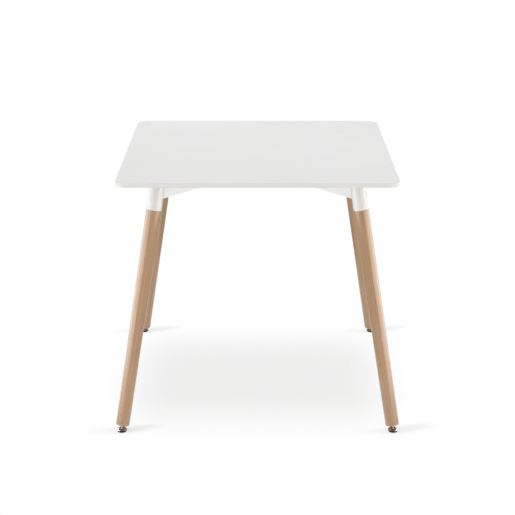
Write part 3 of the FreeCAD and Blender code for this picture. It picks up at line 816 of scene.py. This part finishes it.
cope_rail(rail_pattern)
for side in SIDE_TURNS:
    rail = placed_copy(rail_pattern, f"folded_rail_{side}", quarter_turn(side))
    fit(rail, "table", "white_powder_coat", f"rail_{side}")

# %% [markdown]
# ## The line of a weld
# Where a rail meets a socket, a welded bead closes the gap, and the paint runs over it. The bead follows an
# edge that is already there: the coped end of the rail. We pick those edges, put their ends in order, and
# space points evenly along that line, so that the ripples come out alike however long each edge was.

# %% Helpers that follow an edge


def edges_as_line(piece, test):
    """The places along the edges of a piece that pass a test, in order from one end."""
    ends = [tuple(piece.data.vertices[index].co for index in edge.vertices) for edge in piece.data.edges]
    pairs = [pair for pair in ends if test(pair[0]) and test(pair[1])]
    neighbours = {}
    for first, second in pairs:
        neighbours.setdefault(tuple(first), []).append(second)
        neighbours.setdefault(tuple(second), []).append(first)
    loose = [key for key, near in neighbours.items() if len(near) == 1]
    line = [Vector(min(loose or neighbours))]
    seen = {tuple(line[0])}
    while True:
        onward = [point for point in neighbours[tuple(line[-1])] if tuple(point) not in seen]
        if not onward:
            return line if loose else line + [line[0]]
        line.append(onward[0].copy())
        seen.add(tuple(onward[0]))


def evenly_spaced(line, step):
    """Points along a line, about one step apart."""
    lengths = [(b - a).length for a, b in zip(line, line[1:])]
    count = max(2, round(sum(lengths) / step))
    points = []
    for index in range(count + 1):
        left = sum(lengths) * index / count
        for start, end, length in zip(line, line[1:], lengths):
            if left <= length:
                break
            left -= length
        points.append(start.lerp(end, min(left / length, 1.0)))
    print(f"weld line: {sum(lengths) * 1000:.1f} mm in {count} steps")
    return points


print("a line of edges runs from end to end, or once round a loop")

# %% [markdown]
# ## The weld beads
# Up close the ripples of a bead can be felt, so they are real here. A curve through the points gets a round
# bevel, its radius swells and sinks with each ripple, and it is made a mesh. Both walls of the sheet are
# welded at both ends; the four beads are joined, and copied to the other sides like the rail itself.

# %% Weld beads
BEAD_RADIUS = 0.0015
BEAD_ROUNDNESS = 2                  # how finely its round section is divided
BEAD_RIPPLE = 0.0022                # length of one ripple
BEAD_SWELL = 0.14
BEAD_STEP = 0.0004


def lay_bead(name, line):
    """A rippled bead along a line, as a mesh."""
    curve = bpy.data.curves.new(name, "CURVE")
    curve.dimensions = "3D"
    curve.bevel_depth = BEAD_RADIUS
    curve.bevel_resolution = BEAD_ROUNDNESS
    curve.use_fill_caps = True
    spline = curve.splines.new("POLY")
    points = evenly_spaced(line, BEAD_STEP)
    spline.points.add(len(points) - 1)
    for index, point in enumerate(points):
        spline.points[index].co = (*point, 1.0)
        phase = math.tau * index * BEAD_STEP / BEAD_RIPPLE
        spline.points[index].radius = 1 + BEAD_SWELL * math.sin(phase)
    bead = bpy.data.objects.new(name, curve)
    bpy.context.scene.collection.objects.link(bead)
    activate(bead)
    bpy.ops.object.convert(target="MESH")
    return bpy.context.object


def on_cope(corner, wall):
    """A test for places on the rail's coped end, on its outer or its inner wall."""
    inverse = leg_frame(corner).inverted()

    def test(point):
        local = inverse @ point
        reach = socket_radius(local.z) + WELD_GAP
        return abs(local.xy.length - reach) < CLOSE and abs(point.y - wall) < CLOSE

    return test


def join(pieces, name):
    """Join several objects into one."""
    activate(pieces[0])
    for piece in pieces[1:]:
        piece.select_set(True)
    bpy.ops.object.join()
    pieces[0].name = name
    pieces[0].data.name = name
    return pieces[0]


beads = []
for corner in ("front_left", "front_right"):
    for wall in (RAIL_FACE, RAIL_FACE + SHEET):
        line = edges_as_line(rail_pattern, on_cope(corner, wall))
        beads.append(lay_bead(f"bead_{len(beads)}", line))
weld_pattern = join(beads, "weld_pattern")
for side in SIDE_TURNS:
    weld = placed_copy(weld_pattern, f"rail_weld_{side}", quarter_turn(side))
    fit(weld, "table", "white_powder_coat")
remove(weld_pattern, rail_pattern)

# %% [markdown]
# ## The corner plates
# A square plate with rounded corners closes the top of each socket and takes two screws. It is made like
# the table top, at another scale: uprights first, then a fine break on the rims. A bead runs round the
# socket where the two meet.

# %% Corner plates
PLATE_CORNER_RADIUS = 0.008
PLATE_CORNER_SEGMENTS = 8
PLATE_BREAK = 0.0005
PLATE_BREAK_SEGMENTS = 3


def on_socket_top(corner):
    """A test for places on the outer edge of a socket's level cut."""
    inverse = leg_frame(corner).inverted()

    def test(point):
        local = inverse @ point
        return abs(point.z - PLATE_UNDER) < CLOSE and abs(local.xy.length - socket_radius(local.z)) < CLOSE

    return test


for corner in CORNERS:
    node = f"corner_plate_{corner}"
    plate = model_board(
        f"socket_plate_{corner}", node,
        PLATE_CORNER_RADIUS, PLATE_CORNER_SEGMENTS, PLATE_BREAK, PLATE_BREAK_SEGMENTS,
    )
    fit(plate, "table", "white_powder_coat", node)
    ring = lay_bead(f"plate_weld_{corner}", edges_as_line(sockets[corner], on_socket_top(corner)))
    fit(ring, "table", "white_powder_coat")

# %% [markdown]
# ## The legs
# A leg is a true lathe piece: a long taper, a shoulder that stops under the socket's lip, a tenon inside the
# socket, and a bore at each end. One open outline from the foot's bore to the bolt's bore holds all of that.
# Two corners get a vertex bevel before the spin: the toe, which a maker rounds over so that it doesn't
# splinter, and the shoulder, whose fine break makes the shadow line under the white socket.

# %% Legs
LEG_END_RADIUS = 0.020
LEG_TOE_ROUND = 0.002
TOE_SEGMENTS = 6
SHOULDER_SETBACK = 0.00025
SHOULDER_BREAK = 0.0006
SHOULDER_SEGMENTS = 3
TENON_WALL = SOCKET_WALL + 0.00025  # outside of the socket to the tenon, with a gap
BOLT_BOTTOM = TENON_TOP - 0.045
INSERT_BORE = 0.00605
INSERT_TOP = LEG_END + 0.025
FLANGE_BORE = 0.00905
FLANGE_TOP = LEG_END + 0.0015
STEM_BORE = 0.00405
WELL_TOP = STEM_TOP + 0.008


def model_leg():
    """The turned leg, upright on the world's axis."""
    toe = (LEG_END_RADIUS, LEG_END)
    shoulder = (SOCKET_MOUTH_RADIUS - SHOULDER_SETBACK, MOUTH)
    outline = [
        (0, WELL_TOP),
        (STEM_BORE, WELL_TOP),
        (STEM_BORE, INSERT_TOP),
        (INSERT_BORE, INSERT_TOP),
        (INSERT_BORE, FLANGE_TOP),
        (FLANGE_BORE, FLANGE_TOP),
        (FLANGE_BORE, LEG_END),
        toe,
        shoulder,
        (socket_radius(MOUTH) - TENON_WALL, MOUTH),
        (socket_radius(TENON_TOP) - TENON_WALL, TENON_TOP),
        (BOLT_BORE, TENON_TOP),
        (BOLT_BORE, BOLT_BOTTOM),
        (0, BOLT_BOTTOM),
    ]
    leg = draw_outline("leg_pattern", outline)
    round_corner(leg, toe, LEG_TOE_ROUND, TOE_SEGMENTS)
    round_corner(leg, shoulder, SHOULDER_BREAK, SHOULDER_SEGMENTS)
    spin()
    return leg


leg_pattern = model_leg()
for corner in CORNERS:
    leg = placed_copy(leg_pattern, f"turned_leg_{corner}", leg_frame(corner))
    fit(leg, "table", "beech", f"leg_{corner}", finish=beech[corner])
remove(leg_pattern)

# %% [markdown]
# ## The foot's stem
# The stem is a screw with a ball at its lower end. Its thread is the one place where a picture of ridges
# would not do, because it stands out against the light. We turn the stem with many rings along its threaded
# stretch, and then sink each vertex by how far it is from the crest of a helix: the height along the screw,
# less the angle round it, tells where in the thread a vertex lies.

# %% Foot stems
BALL_RADIUS = 0.005
BALL_STEPS = 20
NECK_RADIUS = 0.003
NECK_TOP = 0.008
STEM_RADIUS = 0.004
STEM_BEVEL = 0.001
THREAD_LOW = 0.009
THREAD_HIGH = STEM_TOP - STEM_BEVEL
THREAD_PITCH = 0.00125
THREAD_DEPTH = 0.0006
THREAD_ROOT = 1.25                  # above 1, the bottom of the groove is flat
THREAD_FADE = 0.0008
RINGS_PER_TURN = 8
THREAD_STEPS = 40


def arc(start, end, radius, steps):
    """Points from start to end on an arc that bulges to the right of that way."""
    a = Vector(start)
    b = Vector(end)
    half = (b - a) / 2
    left = Vector((-half.y, half.x)).normalized()
    centre = a + half + left * math.sqrt(radius ** 2 - half.length_squared)
    first = math.atan2(a.y - centre.y, a.x - centre.x)
    sweep = 2 * math.asin(half.length / radius)
    turns = [first + sweep * step / steps for step in range(steps + 1)]
    return [(centre.x + radius * math.cos(turn), centre.y + radius * math.sin(turn)) for turn in turns]


def cut_thread(stem):
    """Sink the vertices between the crests of a helix, fading out at both ends."""
    for vertex in stem.data.vertices:
        point = vertex.co
        fade = min(1.0, (point.z - THREAD_LOW) / THREAD_FADE, (THREAD_HIGH - point.z) / THREAD_FADE)
        if fade <= 0:
            continue
        turn = (point.z / THREAD_PITCH - math.atan2(point.y, point.x) / math.tau) % 1.0
        depth = THREAD_DEPTH * fade * min(1.0, THREAD_ROOT * abs(2 * turn - 1))
        point.xy *= (STEM_RADIUS - depth) / STEM_RADIUS


def model_foot_stem():
    """The ball-ended screw, upright with the middle of its ball at the origin."""
    neck_start = math.sqrt(BALL_RADIUS ** 2 - NECK_RADIUS ** 2)
    outline = arc((0, -BALL_RADIUS), (NECK_RADIUS, neck_start), BALL_RADIUS, BALL_STEPS)
    outline += [
        (NECK_RADIUS, NECK_TOP),
        (STEM_RADIUS, THREAD_LOW),
        (STEM_RADIUS, THREAD_HIGH),
        (STEM_RADIUS - STEM_BEVEL, STEM_TOP),
        (0, STEM_TOP),
    ]
    stem = draw_outline("stem_pattern", outline)
    pick(stem, "EDGE", lambda edge: both_ends(edge, lambda point: abs(point.x - STEM_RADIUS) < CLOSE))
    rings = round((THREAD_HIGH - THREAD_LOW) / THREAD_PITCH * RINGS_PER_TURN)
    bpy.ops.mesh.subdivide(number_cuts=rings)
    spin(THREAD_STEPS)
    cut_thread(stem)
    return stem


stem_pattern = model_foot_stem()
for corner in CORNERS:
    stem = placed_copy(stem_pattern, f"threaded_stem_{corner}", leg_frame(corner))
    fit(stem, f"foot_stem_{corner}", "zinc_steel", f"foot_stem_{corner}")
remove(stem_pattern)

# %% [markdown]
# ## The foot's dome and pad
# The dome is pressed from thin sheet, so it has an inner and an outer arc and a small rolled rim. The pad is
# moulded: a flared base, a hub that grips the stem's ball and a shallow hollow below, so that it stands on
# its edge and doesn't rock. Both stay level on the floor while the stem leans, so they are modelled about the
# vertical through the ball, and copied without any turn.

# %% Foot domes and pads
PAD_TOE_RADIUS = 0.0132
PAD_TOE_BREAK = 0.0008
PAD_RIM_RADIUS = 0.0152
PAD_RIM_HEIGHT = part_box("foot_dome_front_left")[0].z
PAD_HUB_RADIUS = 0.0105
PAD_HUB_TOP = BALL_HEIGHT + 0.0025
PAD_FLOOR = 0.0014
PAD_HOLLOW = 0.0005
PAD_HOLLOW_RADIUS = 0.0098
CUP_RADIUS = 0.0051
CUP_STEPS = 16
DOME_RADIUS = 0.0155
DOME_TOP = 0.0118
DOME_ARC = 0.009
DOME_STEPS = 20
DOME_WALL = 0.001
DOME_HOLE = 0.0062
DOME_RIM_ROUND = 0.0004
DOME_RIM_SEGMENTS = 3


def model_foot_pad():
    """The moulded base, on the floor under the world's axis."""
    cup_edge = math.sqrt(CUP_RADIUS ** 2 - (PAD_HUB_TOP - BALL_HEIGHT) ** 2)
    outline = [
        (0, PAD_HOLLOW),
        (PAD_HOLLOW_RADIUS, PAD_HOLLOW),
        (PAD_HOLLOW_RADIUS + PAD_HOLLOW, 0),
        (PAD_TOE_RADIUS - PAD_TOE_BREAK, 0),
        (PAD_TOE_RADIUS, PAD_TOE_BREAK),
        (PAD_RIM_RADIUS, PAD_RIM_HEIGHT),
        (PAD_HUB_RADIUS, PAD_RIM_HEIGHT),
        (PAD_HUB_RADIUS, PAD_HUB_TOP),
    ]
    outline += reversed(arc((0, PAD_FLOOR), (cup_edge, PAD_HUB_TOP), CUP_RADIUS, CUP_STEPS))
    pad = draw_outline("pad_pattern", outline)
    spin()
    return pad


def model_foot_dome():
    """The pressed cover, standing on the pad's rim."""
    rim = (DOME_RADIUS, PAD_RIM_HEIGHT)
    outer = arc(rim, (DOME_HOLE, DOME_TOP), DOME_ARC, DOME_STEPS)
    inner_rim = (DOME_RADIUS - DOME_WALL, PAD_RIM_HEIGHT)
    inner = arc(inner_rim, (DOME_HOLE, DOME_TOP - DOME_WALL), DOME_ARC - DOME_WALL, DOME_STEPS)
    dome = draw_outline("dome_pattern", outer + list(reversed(inner)), closed=True)
    round_corner(dome, rim, DOME_RIM_ROUND, DOME_RIM_SEGMENTS)
    spin()
    return dome


pad_pattern = model_foot_pad()
dome_pattern = model_foot_dome()
for corner in CORNERS:
    ball = leg_frame(corner).translation
    stand = Matrix.Translation((ball.x, ball.y, 0))
    pad = placed_copy(pad_pattern, f"moulded_pad_{corner}", stand)
    fit(pad, f"foot_{corner}", "dark_plastic", f"foot_pad_{corner}")
    dome = placed_copy(dome_pattern, f"nickel_dome_{corner}", stand)
    fit(dome, f"foot_{corner}", "bright_nickel", f"foot_dome_{corner}")
remove(pad_pattern, dome_pattern)

# %% [markdown]
# ## Inserts, bolts and nuts
# The insert's flange shows as a bright ring in the end of each leg when the table is on its side, so it gets
# a rounded rim. The hanger bolts and their nuts are shut up inside legs and sockets: their CAD solids are
# right as they are, and only need their zinc.

# %% Threaded inserts
INSERT_RADIUS = 0.006
FLANGE_RADIUS = 0.009
FLANGE_BREAK = 0.0004
FLANGE_SEGMENTS = 3


def model_insert():
    """The flanged sleeve in a leg's end, upright on the world's axis."""
    flange_edge = (FLANGE_RADIUS, LEG_END)
    outline = [
        (STEM_BORE, LEG_END),
        flange_edge,
        (FLANGE_RADIUS, FLANGE_TOP),
        (INSERT_RADIUS, FLANGE_TOP),
        (INSERT_RADIUS, INSERT_TOP),
        (STEM_BORE, INSERT_TOP),
    ]
    insert = draw_outline("insert_pattern", outline, closed=True)
    round_corner(insert, flange_edge, FLANGE_BREAK, FLANGE_SEGMENTS)
    spin()
    return insert


insert_pattern = model_insert()
inserts = [placed_copy(insert_pattern, f"insert_{corner}", leg_frame(corner)) for corner in CORNERS]
remove(insert_pattern)
fit(join(inserts, "leg_end_inserts"), "table", "zinc_steel", "foot_inserts")
for node in ("leg_studs", "socket_nuts"):
    hardware = frame["nodes"][node].data
    hardware.materials.clear()
    hardware.materials.append(zinc_steel)
    print(f"{node}: CAD solids in zinc")

# %% [markdown]
# ## One screw
# Pan-head screws hold the frame to the top. The head is turned from a short outline with one large round.
# The recess is cut by a Boolean with a small cross: a bar whose four sides are extruded into arms, and
# whose inner end is scaled down, because a driver's tip tapers. The head is turned in a number of steps
# that keeps the inner corners of the cross off its spokes, since a cut through a vertex leaves slivers.

# %% Screw with a cross recess
SCREW_RADIUS = 0.00225
SCREW_LENGTH = 0.012
SCREW_POINT = 2 * SCREW_RADIUS
SCREW_STEPS = 36
HEAD_RADIUS = 0.0045
HEAD_HEIGHT = 0.0028
HEAD_ROUND = 0.0017
HEAD_SEGMENTS = 6
CROSS_LENGTH = 0.0046
CROSS_WIDTH = 0.0010
CROSS_DEPTH = 0.0017
CROSS_TAPER = 0.55
CROSS_ARM = (CROSS_LENGTH - CROSS_WIDTH) / 2


def model_cross():
    """The driver's tip, half inside the head."""
    middle = (0, 0, -HEAD_HEIGHT)
    bar = (CROSS_WIDTH, CROSS_WIDTH, 2 * CROSS_DEPTH)
    deselect()
    bpy.ops.mesh.primitive_cube_add(size=1, location=middle, scale=bar)
    cross = new_piece("driver_cross")
    edit(cross)
    pick(cross, "FACE", lambda face: abs(face.normal.z) < 0.1)
    bpy.ops.mesh.extrude_faces_move(TRANSFORM_OT_shrink_fatten={"value": CROSS_ARM})
    pick(cross, "FACE", lambda face: face.normal.z > 0.9)
    bpy.ops.transform.resize(value=(CROSS_TAPER, CROSS_TAPER, 1), center_override=middle)
    bpy.ops.object.mode_set(mode="OBJECT")
    report(cross)
    return cross


def model_screw():
    """A screw that points up, with the seat of its head at the origin."""
    head_edge = (HEAD_RADIUS, -HEAD_HEIGHT)
    outline = [
        (0, -HEAD_HEIGHT),
        head_edge,
        (HEAD_RADIUS, 0),
        (SCREW_RADIUS, 0),
        (SCREW_RADIUS, SCREW_LENGTH - SCREW_POINT),
        (0, SCREW_LENGTH),
    ]
    screw = draw_outline("screw_pattern", outline)
    round_corner(screw, head_edge, HEAD_ROUND, HEAD_SEGMENTS)
    spin(SCREW_STEPS)
    cross = model_cross()
    use_modifier(screw, "BOOLEAN", object=cross, operation="DIFFERENCE", solver="EXACT")
    remove(cross)
    return screw


screw_pattern = model_screw()
report(screw_pattern)

# %% [markdown]
# ## Twenty screws
# The screw goes to every place where the CAD has one. A CAD node holds several screws that don't touch, so a
# copy of it is separated into its loose parts, and the box of each part gives the middle and the height of a
# head. Each screw stops at an angle of its own, as when they are driven by hand.

# %% Screws in their places
SCREW_TURN = math.radians(37)       # further round than the screw before it


def screw_seats(node):
    """Where the seat of each screw's head is in a CAD node."""
    merged = placed_copy(frame["nodes"][node], f"{node}_solids", Matrix())
    edit(merged)
    bpy.ops.mesh.select_all(action="SELECT")
    bpy.ops.mesh.remove_doubles(threshold=SAME_PLACE)
    bpy.ops.mesh.separate(type="LOOSE")
    deselect()
    solids = [piece for piece in bpy.context.scene.objects if piece.name.startswith(f"{node}_solids")]
    seats = []
    for solid in solids:
        corners = [Vector(corner) for corner in solid.bound_box]
        middle = sum(corners, Vector()) / len(corners)
        seats.append(Vector((middle.x, middle.y, corners[0].z + HEAD_HEIGHT)))
    remove(*solids)
    return seats


for node, name in (("rail_screws", "rail_fixing_screws"), ("plate_screws", "plate_fixing_screws")):
    screws = []
    for number, seat in enumerate(screw_seats(node), start=1):
        driven = Matrix.Translation(seat) @ Matrix.Rotation(SCREW_TURN * number, 4, "Z")
        screws.append(placed_copy(screw_pattern, f"{node}_{number}", driven))
    fit(join(screws, name), "table", "zinc_steel", node)
remove(screw_pattern)

# %% [markdown]
# ## The floor
# The floor is plain and pale, and it only has to hold the table's shadow. Its material mixes a matt white
# with pure white light for what the camera sees: partly near the table, so that the shadow shows, and wholly
# further out, so that it has no horizon. Where the matt white shows is a painted shape. Under the table it is
# a painted shadow that fades out round a rectangle, with the floor's real shadow inside it, and beside each
# foot it is a thin painted shadow streak on both sides, all turned the same way, as two lamps would cast
# them.
# Reflections see the same, through the glossy and transmission rays.

# %% Floor
FLOOR_SIDE = 14.0
FLOOR_PALE = rgb(0.88, 0.88, 0.88)
FLOOR_DULL = rgb(0.87, 0.87, 0.87)
# painted shadow: the matt white, with the floor's real shade in it, shows only inside this given shape
SHADOW_SHARE = 0.432                # how much of the matt white shows in the shadow under the table
SHADOW_CORE = (0.26, 0.102, 0.0)    # half size of the rectangle that the shadow lies around
SHADOW_FULL = 0.035                 # metres from the rectangle, in depth
SHADOW_NONE = 0.379
SHADOW_SIDES = 1.51                 # sideways it fades out this much faster
STREAK_THIN = 3.4                   # how many times longer than wide a streak fades out
# painted shadows: a streak on each side of every foot, the same for all four feet
PAINTED_STREAKS = (                         # share, angle in degrees, middle, and where it is full and gone
    (0.42, 20, 0.050, 0.025, 0.120),
    (0.25, 0, -0.020, 0.0, 0.130),
)


def ray(value, kind):
    """1 on rays of one kind, and 0 on the others, in the same node tree as a value."""
    return value.node("ShaderNodeLightPath", {}, {}, f"Is {kind} Ray")


def seen_rays(value):
    """1 for camera, glossy and transmission rays, and 0 for the rays that light a surface."""
    return ray(value, "Camera").at_least(ray(value, "Glossy")).at_least(ray(value, "Transmission"))


def painted_table_shadow(here):
    """How much of the matt white shows under the table: a painted shadow that fades out round a rectangle."""
    outside = here.vector("ABSOLUTE").vector("SUBTRACT", SHADOW_CORE).vector("MAXIMUM")
    reach = outside.stretched(SHADOW_SIDES, 1.0, 1.0).distance_to((0, 0, 0))
    return SHADOW_SHARE * (1 - reach.ramp(SHADOW_FULL, SHADOW_NONE))


def painted_foot_streak(here, foot, share, angle, middle, full, none):
    """How much of the matt white shows in a thin painted shadow that leaves a foot at an angle."""
    beside = here.seen_from((foot.x, foot.y, 0), (0, 0, math.radians(angle)))
    reach = beside.stretched(1.0, STREAK_THIN, 1.0).distance_to((middle, 0, 0))
    return share * (1 - reach.ramp(full, none))


def make_floor_finish():
    """Matt white in the painted shadows, and pure white everywhere else."""
    material, shader, here = new_finish("studio_floor", Roughness=0.9, Specular_IOR_Level=0.0)
    feed(shader, "Base Color", here.noise(60.0).blend(FLOOR_DULL, FLOOR_PALE))
    painted_shadow_share = painted_table_shadow(here)
    for corner in CORNERS:
        foot = leg_frame(corner).translation
        for shape in PAINTED_STREAKS:
            painted_shadow_share = painted_shadow_share.at_least(painted_foot_streak(here, foot, *shape))
    white_share = (1 - painted_shadow_share) * seen_rays(here)
    light = here.node("ShaderNodeEmission", {}, {"Strength": 1.0})
    matt = Value(shader.outputs["BSDF"])
    mixed = here.node("ShaderNodeMixShader", {}, {0: white_share, 1: matt, 2: light})
    output = material.node_tree.nodes["Material Output"]
    material.node_tree.links.new(mixed.socket, output.inputs["Surface"])
    return material


deselect()
bpy.ops.mesh.primitive_plane_add(size=FLOOR_SIDE)
floor = new_piece("floor")
floor.data.materials.append(make_floor_finish())
print("floor:", FLOOR_SIDE, "metres square")

# %% [markdown]
# ## The lamps
# In the photograph the table has hardly any dark side: an even light comes from all round, and four weak
# soft boxes shape it. One stands at each side, one hangs above for the top and its shadow, and one stands
# in front for the rails and the faces of the legs. The last two are left out of reflections, so that they
# draw no lines on the lacquer.

# %% Soft boxes
SIDE_POWER = 1.8
SIDE_SIZE = (2.9, 0.88)
SIDE_X, SIDE_Y, SIDE_Z = (1.55, -0.85, 0.46)
HIDDEN_BOXES = {                    # watts, size and place
    "top_box": (8.5, (1.8, 1.8), (0, 0.5, 2.6)),
    "front_box": (12.0, (3.0, 0.6), (0, -3.0, 0.45)),
}
TABLE_MIDDLE = (0, 0, 0.5)


def soft_box(name, power, size, location, target):
    """A rectangular lamp that faces a point."""
    lamp = bpy.data.lights.new(name, "AREA")
    lamp.shape = "RECTANGLE"
    lamp.size, lamp.size_y = size
    lamp.energy = power
    box = bpy.data.objects.new(name, lamp)
    box.location = location
    box.rotation_euler = (Vector(target) - Vector(location)).to_track_quat("-Z", "Y").to_euler()
    box.visible_camera = False
    bpy.context.scene.collection.objects.link(box)
    print(f"{name}: {power} W")
    return box


for side in (-1, 1):
    soft_box(f"side_box_{side}", SIDE_POWER, SIDE_SIZE, (side * SIDE_X, SIDE_Y, SIDE_Z), (0, SIDE_Y, SIDE_Z))
for name, (power, size, spot) in HIDDEN_BOXES.items():
    soft_box(name, power, size, spot, TABLE_MIDDLE).visible_glossy = False

# %% [markdown]
# ## What the shiny surfaces see
# In the photograph the outer edge of every leg carries a bright band, and so do the sockets. That is a
# reflection, so it is made by cards that only reflections see: at each side an upright one, and a flat one
# beside the feet, which the lowest wood mirrors. A dark flag between the legs keeps their inner sides calm.

# %% Cards for reflections
CARD_LEVEL = 4.0
LOW_CARD_LEVEL = 1.7
LOW_CARD_SIZE = (2.0, 0.93)
LOW_CARD_X, LOW_CARD_Y, LOW_CARD_Z = (1.085, -0.7, 0.004)
FLAG_LEVEL = 0.35
FLAG_SIZE = (1.9, 0.53)
FLAG_PLACE = (0, 0, 0.29)
UPRIGHT_CARD = math.pi / 2
FLAT_CARD = 0.0


def reflected_card(name, level, size, location, tilt=UPRIGHT_CARD):
    """A card along the table's side that only reflections see."""
    deselect()
    bpy.ops.mesh.primitive_plane_add(size=1, location=location, rotation=(tilt, 0, math.pi / 2))
    bpy.context.object.scale = (*size, 1)
    card = new_piece(name)
    material = bpy.data.materials.new(name)
    material.use_nodes = True
    nodes = material.node_tree.nodes
    glow = nodes.new("ShaderNodeEmission")
    glow.inputs["Strength"].default_value = level
    material.node_tree.links.new(glow.outputs[0], nodes["Material Output"].inputs["Surface"])
    material.cycles.emission_sampling = "NONE"
    card.data.materials.append(material)
    card.visible_camera = False
    card.visible_diffuse = False
    card.visible_shadow = False
    report(card)


for side in (-1, 1):
    reflected_card(f"side_card_{side}", CARD_LEVEL, SIDE_SIZE, (side * SIDE_X, SIDE_Y, SIDE_Z))
    beside = (side * LOW_CARD_X, LOW_CARD_Y, LOW_CARD_Z)
    reflected_card(f"low_card_{side}", LOW_CARD_LEVEL, LOW_CARD_SIZE, beside, FLAT_CARD)
reflected_card("dark_flag", FLAG_LEVEL, FLAG_SIZE, FLAG_PLACE)

# %% [markdown]
# ## The world
# The world is white to the camera, and lights the table evenly with a little less than that. A reflection
# sees a room: dim in front of the table, where the camera stands, and white behind it, where the backdrop
# hangs. The kind of ray tells which of the three is asked for.

# %% World
AMBIENT = 0.80
ROOM = 0.10                         # what a reflection sees of the room in front of the table
BACKDROP = (0.25, 0.75)             # how far back a direction points where the white begins, and is full


def light_world():
    """White for the rays that see the backdrop, a dim room in reflections, and an even fill for the rest."""
    world = bpy.data.worlds.new("studio")
    bpy.context.scene.world = world
    world.use_nodes = True
    backdrop = world.node_tree.nodes["Background"]
    direction = Value(world.node_tree.nodes.new("ShaderNodeTexCoord").outputs["Generated"])
    room = ROOM + (1 - ROOM) * direction.along("Y").ramp(*BACKDROP)
    glossy = ray(direction, "Glossy")
    level = AMBIENT + (1 - AMBIENT) * seen_rays(direction)
    level = level * (1 - glossy) + room * glossy
    world.node_tree.links.new(level.socket, backdrop.inputs["Strength"])
    backdrop.inputs["Color"].default_value = rgb(1.0, 1.0, 1.0)
    world.cycles.sampling_method = "NONE"


light_world()
print(f"world: lights at {AMBIENT}, white to the camera")

# %% [markdown]
# ## Camera
# The photograph looks straight at the front of the table from a little over four metres, and down by eighteen
# degrees. The focal length is worked out in pixels of the square image, and turned into millimetres of a
# 36 mm sensor.

# %% Camera
IMAGE_SIDE = 515
FOCAL_PIXELS = 1308.6
SENSOR_WIDTH = 36.0                 # millimetres
PITCH_DOWN = math.radians(18.435)
CAMERA_PLACE = (0.0, -3.921, 1.7156)


def set_camera():
    """The camera at the photograph's viewing angle."""
    camera = bpy.data.cameras.new("camera")
    camera.sensor_width = SENSOR_WIDTH
    camera.lens = FOCAL_PIXELS / IMAGE_SIDE * SENSOR_WIDTH
    viewer = bpy.data.objects.new("camera", camera)
    viewer.location = CAMERA_PLACE
    viewer.rotation_euler = Euler((math.pi / 2 - PITCH_DOWN, 0, 0))
    bpy.context.scene.collection.objects.link(viewer)
    bpy.context.scene.camera = viewer
    bpy.context.scene.view_settings.view_transform = "Standard"
    print(f"camera: {camera.lens:.1f} mm lens")


set_camera()

# %% [markdown]
# ## The end
